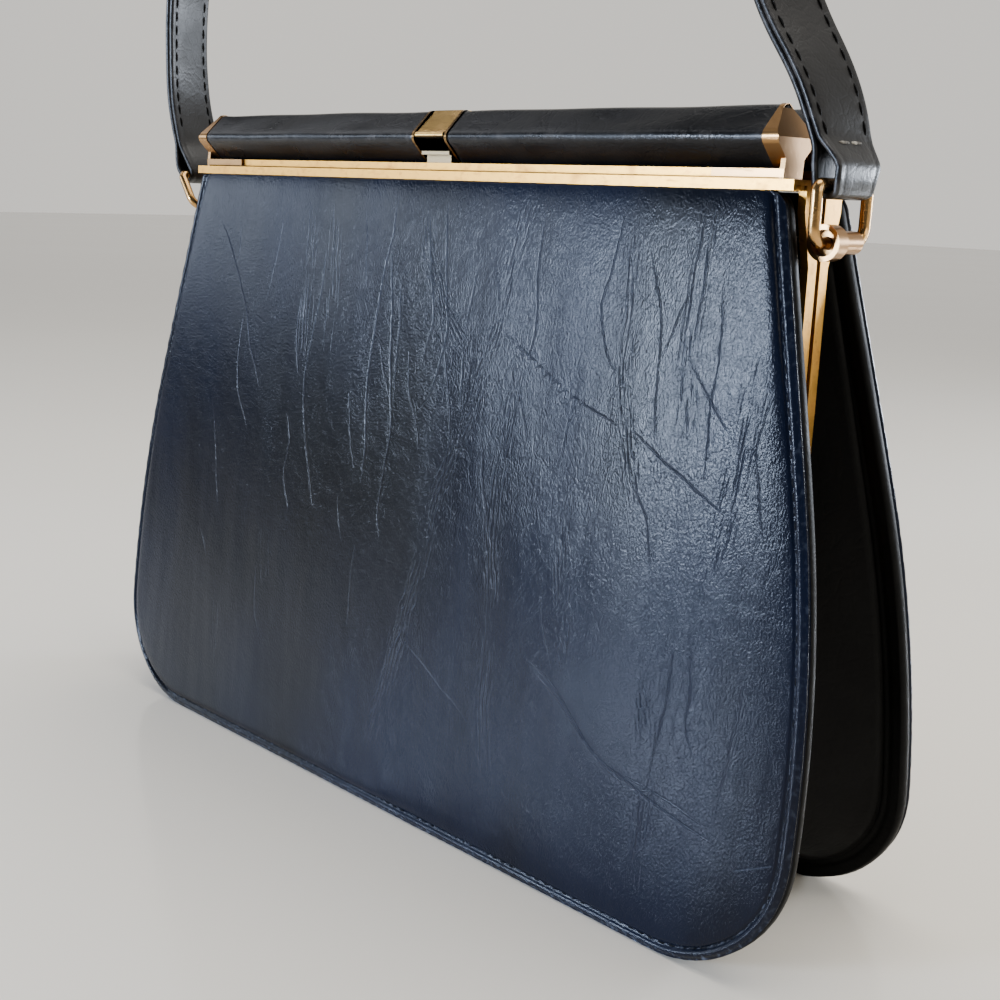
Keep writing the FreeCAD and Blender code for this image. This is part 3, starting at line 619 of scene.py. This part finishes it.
def face_depth(u, s, near, front):
    """How far inwards a panel's face lies: a crowned face, a sewn groove, a rim and a rounded edge."""
    groove_mark = 4.7  # the groove's place in the rim's profile
    turn_over = 1.2  # the width of the rounded edge
    scaled = near * groove_mark / groove_inset
    from_groove = scaled - groove_mark
    turned = u if front else -u
    low = np.clip((150 - s) / 70, 0, 1) * np.clip(turned / 60, 0, 1)
    belly = np.exp(-((turned - 78) / 38) ** 2 - ((s - 66) / 44) ** 2)
    crown = -0.6 + 1.4 * np.exp(-np.maximum(near - groove_inset, 0) / (0.9 + 7.5 * low))
    crown -= 2.0 * belly
    crown += 0.9 * np.exp(-(panel_length - s) / 4.0)
    rim = 0.8 - 0.75 * np.maximum(0, 1 - ((scaled - 2.9) / 1.9) ** 2) - 0.3 * np.clip(1 - scaled / 2.0, 0, 1)
    depth = np.where(from_groove > 0, crown, rim)
    depth += 0.55 * np.exp(-(from_groove / 0.62) ** 2)
    rest = np.maximum(0, turn_over - near)
    depth += (turn_over - np.sqrt(turn_over ** 2 - rest ** 2)) * 0.6
    inside = np.clip((near - 8) / 25, 0, 1)
    return depth - inside * 0.25 * wave(u, s, 1.0 if front else 2.3)


def set_leather(obj, flat, near, front):
    """The values of a panel's face that the creased leather reads."""
    turned = flat[:, 0] if front else -flat[:, 0]
    inner = np.clip((near - 4) / 5, 0, 1)
    creased = np.zeros(len(obj.data.vertices))
    creased[:len(flat)] = crease_strength(turned, flat[:, 1]) * inner
    set_values(obj, "crease", creased)
    # Partly the leather's own tone, partly painted shade in the middle left
    tint_and_shade = np.full(len(obj.data.vertices), 0.8)
    tint_and_shade[:len(flat)] = blue_tint_and_shade(turned, flat[:, 1])
    set_values(obj, "tint_and_shade", tint_and_shade)
    for kind, paths in (("single", single_creases), ("bundle", bundled_creases)):
        offset, gain = crease_lanes(flat, paths, front)
        set_vectors(obj, kind + "_lane", offset)
        set_vectors(obj, kind + "_gain", gain * inner[:, None])


# The panel's cut edge as depth, inset and wear: face leather, a gap line, then the black backing
cut_edge = ((1.4, 0.1, 0.3), (1.55, 0.7, 0), (2.0, 0.75, 0), (2.15, 0.15, 0.3), (2.8, -0.1, 0.4),
            (4.1, -0.05, 0.3), (4.85, 0.35, 0.2))
black_from = 3


def panel(side, front):
    """A panel: face leather turned over its edge with a sewn groove, a gap line, and the backing leather."""
    u, s = face_grid(inset=0.0)
    rows, columns = u.shape
    flat = np.stack([u.ravel(), s.ravel()], 1)
    near = edge_distance(flat)
    points = [panel_point(flat[:, 0], flat[:, 1], face_depth(flat[:, 0], flat[:, 1], near, front), front)]
    low_down = 0.2 + 0.8 * np.exp(-(flat[:, 1] / 13) ** 2)
    wear = [np.exp(-(near / 1.5) ** 2) * low_down]
    loop = border(rows, columns)
    edge_line = flat[loop]
    ahead = unit(np.roll(edge_line, -1, 0) - np.roll(edge_line, 1, 0))
    inwards = np.stack([-ahead[:, 1], ahead[:, 0]], 1)
    total = rows * columns
    faces = grid_faces(rows, columns, flip=not front)
    loops = [loop]
    for depth, inset, worn in cut_edge:
        step = edge_line + inwards * inset
        points.append(panel_point(step[:, 0], step[:, 1], depth, front))
        wear.append(worn * low_down[loop])
        loops.append(list(range(total, total + len(loop))))
        total += len(loop)
    back_u, back_s = (values.ravel() for values in face_grid(inset=0.9))
    welt = edge_distance(np.stack([back_u, back_s], 1))
    depth = panel_thickness - 0.25 * np.exp(-((welt - 4.0) / 0.5) ** 2)
    points.append(panel_point(back_u, back_s, depth, front))
    wear.append(np.zeros(rows * columns))
    faces += grid_faces(rows, columns, first=total, flip=front)
    loops.append([total + index for index in loop])
    for near_loop, far_loop in zip(loops, loops[1:]):
        faces += band_faces(near_loop, far_loop, flip=not front)
    obj = add_mesh(side + "_panel", np.concatenate(points), faces, navy, side + "_half")
    set_values(obj, "edge", np.concatenate(wear))
    set_leather(obj, flat, near, front)
    obj.data.materials.append(black)
    first_black = rows * columns + black_from * len(loop)
    for polygon in obj.data.polygons:
        if min(polygon.vertices) >= first_black or max(polygon.vertices) >= total:
            polygon.material_index = 1
    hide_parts(side + "_panel_leather", side + "_panel_board", side + "_panel_backing")


def capsule(start, end, up, radius, sink):
    """Points and faces of one stitch: a short arched thread between two points."""
    start, end, up = (np.asarray(v, float) for v in (start, end, up))
    along = end - start
    side = np.cross(along, up)
    side /= np.linalg.norm(side)
    points = []
    sides = 6
    profile = ((0.0, 0.25), (0.1, 0.85), (0.35, 1.0), (0.65, 1.0), (0.9, 0.85), (1.0, 0.25))
    for t, swell in profile:
        lift = math.sin(math.pi * t) * radius * 0.9 - sink
        for k in range(sides):
            turn = 2 * math.pi * k / sides
            points.append(start + along * t + up * (lift + radius * swell * math.sin(turn))
                          + side * radius * swell * math.cos(turn))
    return points, tube_faces(len(profile), sides)


def stitches(name, runs, material, body, radius, sink):
    """One mesh of many stitches; runs holds (start, end, up) for each."""
    points, faces = [], []
    for start, end, up in runs:
        some, quads = capsule(start, end, up, radius, sink)
        faces += [[i + len(points) for i in quad] for quad in quads]
        points += some
    return add_mesh(name, points, faces, material, body)


def groove_line():
    """The sewn groove's line from the top left round to the top right."""
    ahead = unit(np.gradient(outline, axis=0))
    inwards = np.stack([-ahead[:, 1], ahead[:, 0]], 1)
    drawn = outline + inwards * groove_inset
    return drawn[drawn[:, 1] < panel_length - 3.0]


def panel_stitches(side, front):
    """The sewn line in the panel's groove."""
    stitch_step, depth = 3.1, 1.2
    line = resample(groove_line(), stitch_step)
    turn = -1 if front else 1
    outward = np.array([0, turn * math.cos(lean), math.sin(lean)])
    runs = []
    for (u0, s0), (u1, s1) in zip(line, line[1:]):
        a = panel_point(np.array(u0), np.array(s0), depth, front)
        b = panel_point(np.array(u1), np.array(s1), depth, front)
        runs.append((a + (b - a) * 0.12, a + (b - a) * 0.82, outward))
    obj = stitches(side + "_panel_stitches", runs, stitch_thread, side + "_half", radius=0.00034, sink=0.0001)


for side, is_front in (("front", True), ("back", False)):
    panel(side, is_front)
    panel_stitches(side, is_front)


# Lining inside each panel

def lining(side, front):
    """The lining cloth on a panel's inner face, slightly loose."""
    inset = 9.2
    gap, depth = 0.12, 0.45  # the cloth's two sides, off the panel's inner face
    rise = np.linspace(inset + 0.2, panel_length - inset - 0.4, 60)
    across = []
    for s in rise:
        wide = panel_half_width(s) - inset
        if s < belly_height:
            wide = half_width - belly_height
            wide += math.sqrt(max(0, (belly_height - inset) ** 2 - (belly_height - s) ** 2))
        across.append(np.linspace(-wide, wide, 90))
    u = np.array(across)
    s = np.repeat(rise[:, None], u.shape[1], 1)
    ease = 0.12 + 0.1 * wave(u * 2.2, s * 2.4, 3.1)
    near = panel_point(u.ravel(), s.ravel(), panel_thickness + gap, front)
    far = panel_point(u.ravel(), s.ravel(), (panel_thickness + depth + ease).ravel(), front)
    faces = sheet_faces(*u.shape, flip=not front)
    obj = add_mesh(side + "_lining_cloth", np.concatenate([near, far]), faces, cloth, side + "_half")
    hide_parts(side + "_lining")
    wide = 2 * u.max() * MM


lining("front", True)
lining("back", False)


# Gusset

def gusset_outline(inset, count):
    """Points round the sides and bottom at an inset, from the top right to the top left, evenly spaced."""
    radius = belly_height - inset
    reach = belly_radius - inset
    center_u = half_width - belly_height
    side_u = belly_center + reach * math.cos(flare)
    side_s = belly_height + reach * math.sin(flare)
    heights = np.linspace(panel_length - 14.0, side_s, 40)
    side = [(side_u - (s - side_s) * math.tan(flare), s) for s in heights]
    for u, distance, turns in ((belly_center, reach, np.linspace(flare, 0, 30)),
                               (center_u, radius, np.linspace(0, -math.pi / 2, 24))):
        side += [(u + distance * math.cos(a), belly_height + distance * math.sin(a)) for a in turns[1:]]
    path = np.array(side + [(-u, s) for u, s in reversed(side)])
    along = reach_along(path)
    marks = np.linspace(0, along[-1], count)
    return np.stack([np.interp(marks, along, path[:, k]) for k in (0, 1)], 1)


def gusset():
    """The folded gusset between the panels: a soft inward fold with slack creases."""
    count, steps = 150, 33
    thickness, edge_inset, fold_inset, fold_drop = 1.3, 5.2, 30.0, 18.0
    edge = gusset_outline(edge_inset, count)
    fold = gusset_outline(fold_inset, count)
    drop = np.clip((belly_height - edge[:, 1]) / belly_height, 0, 1)
    fold[:, 1] -= fold_drop * np.clip((60 - fold[:, 1]) / 40, 0, 1)
    along = np.linspace(0, 1, count)
    inner_y = base_depth - edge[:, 1] * math.sin(lean) - (panel_thickness + 0.5) * math.cos(lean)
    rows = []
    for q in np.linspace(-1, 1, steps):
        tip = 1 - math.sqrt(q * q + 0.012) / math.sqrt(1.012)
        share = max(0.0, tip) ** 0.92
        ripple = 0.8 * np.sin(along * 70 + 2 * q) * math.sin(math.pi * (q + 1) / 2) * (1 - abs(q)) * 2
        u = edge[:, 0] * (1 - share) + fold[:, 0] * share
        s = edge[:, 1] * (1 - share) + fold[:, 1] * share
        u = u - np.sign(u) * np.abs(ripple) * 0.6 * (1 - drop)
        rows.append(np.stack([u, q * inner_y, np.maximum(s * math.cos(lean) - 0.4 * abs(q), 1.2)], 1))
    grid = np.array(rows)
    normal = unit(np.cross(np.gradient(grid, axis=1), np.gradient(grid, axis=0)))
    toward = -np.sign((normal * (grid - np.array([0, 0, 90.0]))).sum(2))[:, :, None]
    inside = grid + normal * toward * thickness
    points = np.concatenate([grid.reshape(-1, 3), inside.reshape(-1, 3)]) * MM
    obj = add_mesh("gusset_fold", points, sheet_faces(steps, count), black)
    set_values(obj, "edge", np.zeros(len(points)))
    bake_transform(obj)
    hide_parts("gusset")


gusset()


# Rolls

roll_y = 7.7
roll_z = 190.1
roll_half_y = 7.26
roll_half_z = 7.06
roll_corner = 2.1


def roll_section(half_y, half_z, radius):
    """Points round a diamond with rounded corners, as Y and Z about its middle."""
    slope = math.hypot(half_y, half_z)
    tip_y = half_y + radius * (slope / half_z - 1)
    tip_z = half_z + radius * (slope / half_y - 1)
    corners = np.array([(-tip_y, 0), (0, tip_z), (tip_y, 0), (0, -tip_z)])
    points = []
    for last, corner, following in zip(np.roll(corners, 1, 0), corners, np.roll(corners, -1, 0)):
        before, after = unit(last - corner), unit(following - corner)
        half_turn = math.acos(np.clip(before @ after, -1, 1)) / 2
        middle = corner + unit(before + after) * radius / math.sin(half_turn)
        first = math.atan2(*(corner + before * radius / math.tan(half_turn) - middle)[::-1])
        for angle in first - np.linspace(0, math.pi - 2 * half_turn, 9):
            points.append(middle + radius * np.array([math.cos(angle), math.sin(angle)]))
        for share in (0.3, 0.42, 0.5, 0.58, 0.7):
            points.append(corner * (1 - share) + following * share)
    return np.array(points)


def roll(side, end):
    """The leather sleeve of one roll, a little soft between its ends."""
    node = side + "_roll_leather_" + end
    low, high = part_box(node)
    x0, x1 = low.x / MM, high.x / MM
    section = roll_section(roll_half_y, roll_half_z, roll_corner)
    length = x1 - x0
    near_end = np.array([0, 0.25, 0.6, 1.2, 2.2, 4])
    stations = np.concatenate([near_end, np.linspace(6, length - 6, 44), length - near_end[::-1]])
    sign = -1 if side == "front" else 1
    phase = 0.7 if end == "left" else 2.9
    points, wear = [], []
    for x in stations:
        from_end = min(x, length - x)
        size = 1 - 0.035 * math.exp(-from_end / 0.5)
        for y, z in section:
            angle = math.atan2(z, y)
            soft = 0.16 * math.sin(0.11 * x + 2.0 * angle + phase) * math.sin(0.043 * x + angle)
            grow = size + soft / 7.3 * min(1, from_end / 6)
            points.append(((x0 + x) * MM, (sign * roll_y + y * grow) * MM, (roll_z + z * grow) * MM))
            wear.append(0.55 * math.exp(-(abs(z) / 0.9) ** 2) + 0.5 * math.exp(-from_end / 1.2))
    faces = tube_faces(len(stations), len(section))
    obj = add_mesh(side + "_roll_" + end, points, faces, roll_skin, side + "_half")
    set_values(obj, "edge", wear)
    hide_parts(node, side + "_roll_core_" + end)


for roll_side in ("front", "back"):
    for roll_end in ("left", "right"):
        roll(roll_side, roll_end)


# Handle

def ring_top(tilt):
    """The ring's upper bar as X and Z."""
    angle = math.radians(tilt)
    return eye_x + ring_height * math.sin(angle), ring_z + ring_height * math.cos(angle)


right_x, right_z = ring_top(0.0)
left_x, left_z = ring_top(ring_tilt_left)
bulge_x = left_x + strap_bulge
arch_radius = (bulge_x + right_x) / 2 - strap_side_draw
arch_z = right_z + strap_arch_rise
arch_x = arch_radius - bulge_x


def strap_path():
    """The strap's middle line in X and Z, from the right ring over the arch to the left ring."""
    reach = math.hypot(right_x - arch_x, right_z - arch_z)
    between = strap_right_radius - arch_radius
    along = (between ** 2 - strap_right_radius ** 2 + reach ** 2) / (2 * reach)
    aside = math.sqrt(between ** 2 - along ** 2)
    toward = np.array([right_x - arch_x, right_z - arch_z]) / reach
    center = np.array([arch_x, arch_z]) + along * toward + aside * np.array([toward[1], -toward[0]])
    joint = math.atan2(arch_z - center[1], arch_x - center[0])
    touch = np.array([arch_x + arch_radius * math.cos(joint), arch_z + arch_radius * math.sin(joint)])
    start = np.array([right_x, right_z])
    line = [start + (touch - start) * t for t in np.linspace(0, 1, 40)]
    arch = [(arch_x + arch_radius * math.cos(a), arch_z + arch_radius * math.sin(a))
            for a in np.linspace(joint, math.pi, 120)[1:]]
    inwards = bulge_x - left_x
    down = arch_z - left_z
    radius = (inwards ** 2 + down ** 2) / (2 * inwards)
    turn = math.asin(down / radius)
    left = [(radius - bulge_x + radius * math.cos(a), arch_z + radius * math.sin(a))
            for a in np.linspace(math.pi, math.pi + turn, 30)[1:]]
    return resample(np.array([tuple(p) for p in line] + arch + left), 1.5)


def ribbon_section(width, thick):
    """A leather strip's cross-section with rounded edges: across and out values."""
    round_off = thick * 0.42
    edge = width / 2 - round_off
    rise = thick / 2 - round_off
    half_marks = np.array([0.93, 0.86, 0.8, 0.74, 0.66, 0.4, 0.1])
    marks = np.concatenate([half_marks, -half_marks[::-1]]) * edge
    points = []
    for cx, cy, first in ((edge, rise, 0), (-edge, rise, 90), (-edge, -rise, 180), (edge, -rise, 270)):
        for step in range(5):
            angle = math.radians(first + 22.5 * step)
            points.append((cx + round_off * math.cos(angle), cy + round_off * math.sin(angle)))
        if first in (0, 180):
            level = thick / 2 if first == 0 else -thick / 2
            points += [(m, level) for m in (marks if first == 0 else -marks)]
    return points


# The strap's two layers, and their fold round each ring's bar
layer_thick = 1.55
layer_lay = 0.82  # from the strap's middle line to a layer's middle
layer_hug = wire_radius + 0.22 + layer_thick / 2
fold_length = 11.5
fold_bulge = 1.2
fold_corner = 9.0  # the rounding of the fold's corners
bend_start = 2.5  # where the bend round the bar starts
sewn = 9.4  # the cross stitches' distance from the bar
seam_line = 6.7

solid_path = strap_path()
strap_reach = reach_along(solid_path)
strap_length = strap_reach[-1]


def sway():
    """How far the strap's middle line strays sideways from the solid's, by the distance from each end."""
    right = np.interp(strap_reach, (0, 5, 14, 27, 37, 60, 130, strap_length),
                      (0, 1.6, 2.6, 1.7, -1.6, -4.2, 0, 0))
    left = np.interp(strap_length - strap_reach, (0, 8, 18, 33, 66, 100, 150, 220),
                     (0, -0.4, -1.5, -3.2, -6.6, -7.4, -4.6, 0))
    shift = smoothed(right + left)
    shift[0] = shift[-1] = 0.0
    return shift


strap_middle = solid_path + np.stack([sway(), np.zeros(len(strap_reach))], 1)
strap_ahead = unit(np.gradient(strap_middle, axis=0))
strap_out = np.stack([strap_ahead[:, 1], -strap_ahead[:, 0]], 1)
end_distance = np.minimum(strap_reach, strap_length - strap_reach)


def twist(k):
    """The strap's turn about its middle line at one of the line's points."""
    around = strap_reach[k] + np.linspace(-5, 5, 11)
    right = np.interp(around, (3, 14, 40, 80, 190), (0, 11, 17, 14, 0)).mean()
    left = np.interp(strap_length - around, (3, 16, 40, 80, 170), (0, 10, 16, 14, 0)).mean()
    return math.radians(float(right + left)) * min(1.0, (end_distance[k] - bend_start) / 8.0)


def lying(distance, outer):
    """A layer's height off the middle line, more where it goes round the ring."""
    share = min(1.0, max(0.0, (1 - distance / fold_length) / 0.75))
    fat = layer_hug + (fold_bulge if outer else 0.0)
    return layer_lay + (fat - layer_lay) * (share * share * (3 - 2 * share))


def slimmed(height):
    """The share of its half width that the strap loses at the fold's rounded corners."""
    rest = max(0.0, fold_corner - height)
    return 0.5 * (fold_corner - math.sqrt(fold_corner ** 2 - rest ** 2)) / (strap_width / 2)


def strap_axes(k):
    """A point of the middle line, the way across the strap there and the way out of it."""
    angle = twist(k)
    main, depth = np.array([strap_out[k][0], 0, strap_out[k][1]]), np.array([0, 1.0, 0])
    place = np.array([strap_middle[k][0], handle_y, strap_middle[k][1]])
    return (place, depth * math.cos(angle) + main * math.sin(angle),
            main * math.cos(angle) - depth * math.sin(angle))


def strap_stations():
    """Each cross-section's place, axes and slimming, along the outer layer and back along the inner one."""
    stations = []
    for sign in (1, -1):
        for k in range(len(strap_middle))[::sign]:
            if end_distance[k] >= bend_start:
                place, across, outward = strap_axes(k)
                place = place + outward * (sign * lying(end_distance[k], sign == 1))
                stations.append((place, across, outward * sign, slimmed(end_distance[k] + layer_hug)))
        end = -1 if sign == 1 else 0
        down, sideways = strap_ahead[end] * sign, strap_out[end] * sign
        for angle in np.radians(np.linspace(-68, 68, 15)):
            around = -sideways * math.sin(angle) + down * math.cos(angle)
            swell = fold_bulge * max(0.0, float(around @ strap_out[end])) ** 2
            center = strap_middle[end] + around * (layer_hug + swell)
            stations.append((np.array([center[0], handle_y, center[1]]), np.array([0, 1.0, 0]),
                             np.array([around[0], 0, around[1]]), slimmed(layer_hug * (1 - math.cos(angle)))))
    return stations


def strap():
    """The strap: one long strip folded round both rings, with its two layers lying together."""
    section = ribbon_section(strap_width, layer_thick)
    stations = strap_stations()
    faces = grid_faces(len(stations), len(section), close_rows=True, close_columns=True)
    points, wear = [], []
    for place, across, outward, slim in stations:
        for a, b in section:
            dent = 0.12 * math.exp(-((abs(a) - seam_line) / 0.55) ** 2) if b > 0.5 else 0.0
            wear.append(0.7 * math.exp(-((abs(a) - strap_width / 2) / 0.45) ** 2))
            a *= 1 - slim * (1.0 if a > 0 else 0.15)
            points.append((place + across * a + outward * (b - dent)) * MM)
    obj = add_mesh("strap", points, faces, strap_skin, "handle")
    set_values(obj, "edge", wear)
    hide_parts("strap_outer", "strap_lining")


def strap_seams():
    """The long seams along both edges of each layer."""
    stitch_step, sunk = 4.3, 0.1
    runs = []
    for sign in (1, -1):
        for edge in (-seam_line, seam_line):
            line, ups = [], []
            for k in np.flatnonzero(end_distance >= sewn):
                place, across, outward = strap_axes(k)
                height = lying(end_distance[k], sign == 1) + layer_thick / 2 - sunk
                line.append(place + across * edge + outward * sign * height)
                ups.append(outward * sign)
            even = resample(np.hstack([line, ups]), stitch_step)
            line, ups = even[:, :3] * MM, unit(even[:, 3:])
            for a, b, up in zip(line, line[1:], ups):
                runs.append((a + (b - a) * 0.05, a + (b - a) * 0.86, up))
    seam = stitches("strap_stitches", runs, strap_thread, "handle", radius=0.00032, sink=0.00016)


def strap_cross_stitches():
    """Two pale stitches across each fold; the paleness is a painted highlight for their glint."""
    half_length, half_pitch = 2.1, 2.3
    runs = []
    for mark in (sewn, strap_length - sewn):
        place, across, outward = strap_axes(int(np.argmin(np.abs(strap_reach - mark))))
        place = place + outward * (lying(sewn, True) + layer_thick / 2 + 0.05)
        for side in (-half_pitch, half_pitch):
            ends = [(place + across * (side + half)) * MM for half in (-half_length, half_length)]
            runs.append((*ends, outward))
    bars = stitches("strap_cross_stitches", runs, glint_thread, "handle", radius=0.00036, sink=0.0001)


strap()
strap_seams()
strap_cross_stitches()


def ring(name, tilt, mirrored):
    """A wire ring with round bends, standing in its eye."""
    half = strap_width / 2 + wire_radius + 0.4
    foot, head = 3.6, 1.75
    path = []
    bends = ((half - foot, foot, foot, 270), (half - head, ring_height - head, head, 0),
             (head - half, ring_height - head, head, 90), (foot - half, foot, foot, 180))
    for cy, cz, radius, first in bends:
        for step in range(11):
            angle = math.radians(first + 9 * step)
            path.append((cy + radius * math.cos(angle), cz + radius * math.sin(angle)))
    path = np.array(path)
    ahead = unit(np.roll(path, -1, 0) - np.roll(path, 1, 0))
    angle = math.radians(tilt)
    points = []
    sides = 18
    for (y, z), (ty, tz) in zip(path, ahead):
        for k in range(sides):
            turn = 2 * math.pi * k / sides
            x = wire_radius * math.cos(turn)
            oy = y + tz * wire_radius * math.sin(turn)
            oz = z - ty * wire_radius * math.sin(turn)
            rx = x * math.cos(angle) + oz * math.sin(angle)
            rz = oz * math.cos(angle) - x * math.sin(angle)
            px = eye_x + rx
            points.append(((-px if mirrored else px) * MM, (handle_y + oy) * MM, (ring_z + rz) * MM))
    faces = grid_faces(len(path), sides, flip=mirrored, close_rows=True, close_columns=True)
    obj = add_mesh("wire_" + name, points, faces, gold, "handle")
    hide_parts(name)


ring("ring_right", 0.0, False)
ring("ring_left", ring_tilt_left, True)


# Metal from the solids: materials, small rounded edges

def metal(name):
    """The finish of a metal node, by its name."""
    if name == "clasp_pin" or name.startswith("hinge_rivet"):
        return pin_gold
    if name.endswith("frame") or name.endswith("bed_bar"):
        return frame_gold
    if "inner_rim" in name:
        return shaded_rim_gold
    if "cap" in name or "hanger" in name:
        return cap_gold
    return {"clasp_plate": clasp_gold, "front_keeper": keeper_gold}[name]


for node_name, node in nodes.items():
    if node.hide_render:
        continue
    node.data.materials.clear()
    node.data.materials.append(metal(node_name))
    bevel = node.modifiers.new("edges", "BEVEL")
    bevel.width = 0.00018
    bevel.segments = 2
    bevel.limit_method = "ANGLE"
    bevel.angle_limit = math.radians(35)
    bevel.harden_normals = True
    node.data.polygons.foreach_set("use_smooth", [True] * len(node.data.polygons))
    node.data.set_sharp_from_angle(angle=math.radians(32))


# Floor, light and camera

floor_shader = Shader("floor")
floor_tone = floor_shader.mix(floor_shader.noise(floor_shader.place, 3.0, 2.0), rgb(226, 218, 204),
                              rgb(232, 225, 213))
floor_shader.set(Base_Color=floor_tone, Roughness=0.14, Specular_IOR_Level=0.5)
half = 6.0
corners = [(-half, -half, 0), (half, -half, 0), (half, half, 0), (-half, half, 0)]
floor = add_mesh("floor", corners, [[0, 1, 2, 3]], floor_shader.material)

world = bpy.data.worlds.new("studio")
bpy.context.scene.world = world
world.use_nodes = True
sky = Nodes(world.node_tree, "Generated")
brightness = sky.between(sky.split(sky.place)[1], -0.25, 0.5, 0.105, 0.95)
background = world.node_tree.nodes["Background"]
sky.put(background.inputs["Color"], sky.mix(brightness, (0.72, 0.81, 1.0, 1), (0.93, 0.89, 0.82, 1)))
sky.put(background.inputs["Strength"], brightness)


def stand(obj, right, up, back, place):
    """Adds an object to the scene at a place, turned to three axes."""
    bpy.context.scene.collection.objects.link(obj)
    turn = np.eye(4)
    turn[:3] = np.stack([right, up, back, place], 1)
    obj.matrix_world = Matrix(turn.tolist())


def area_light(name, place, target, size_x, size_y, power, colour):
    """A soft rectangular light aimed at a point."""
    data = bpy.data.lights.new(name, "AREA")
    data.shape = "RECTANGLE"
    data.size = size_x
    data.size_y = size_y
    data.energy = power
    data.color = colour
    back = unit(np.array(place, float) - np.array(target, float))
    right = unit(np.cross((0, 0, 1.0), back))
    stand(bpy.data.objects.new(name, data), right, np.cross(back, right), back, place)


area_light("window", (-0.43, -0.975, 0.225), (0.1, -0.015, 0.14), 0.2, 0.2, 17.0, (0.64, 0.77, 1.0))
area_light("high_window", (-1.1, -0.74, 0.37), (-0.08, 0, 0.13), 0.9, 0.36, 6.2, (0.74, 0.84, 1.0))
area_light("left_top", (-0.85, -0.25, 0.95), (0, 0, 0.19), 0.7, 0.6, 2.0, (0.95, 0.96, 1.0))
area_light("back_window", (0.43, 0.975, 0.225), (-0.1, 0.015, 0.14), 0.2, 0.2, 9.0, (0.8, 0.88, 1.0))
area_light("back_high_window", (1.1, 0.74, 0.45), (0.08, 0, 0.13), 0.9, 0.36, 4.0, (0.85, 0.92, 1.0))
area_light("top", (0.1, 0.1, 1.1), (0, 0, 0.1), 0.9, 0.8, 12.0, (1.0, 0.98, 0.94))
area_light("right_fill", (1.0, -0.1, 0.5), (0, 0, 0.14), 0.5, 0.5, 3.0, (1.0, 0.93, 0.8))

camera_place = (0.26930, -0.26491, 0.17587)
yaw, pitch, roll_angle = (math.radians(a) for a in (43.569, 13.124, 2.181))
forward = np.array([-math.sin(yaw) * math.cos(pitch), math.cos(yaw) * math.cos(pitch), -math.sin(pitch)])
level = np.array([math.cos(yaw), math.sin(yaw), 0.0])
rise = np.cross(level, forward)
right = level * math.cos(roll_angle) + rise * math.sin(roll_angle)
up = rise * math.cos(roll_angle) - level * math.sin(roll_angle)
camera_data = bpy.data.cameras.new("camera")
camera_data.sensor_width = 36.0
camera_data.lens = 47.278
camera_data.clip_start = 0.01
camera = bpy.data.objects.new("camera", camera_data)
stand(camera, right, up, -forward, camera_place)
bpy.context.scene.camera = camera
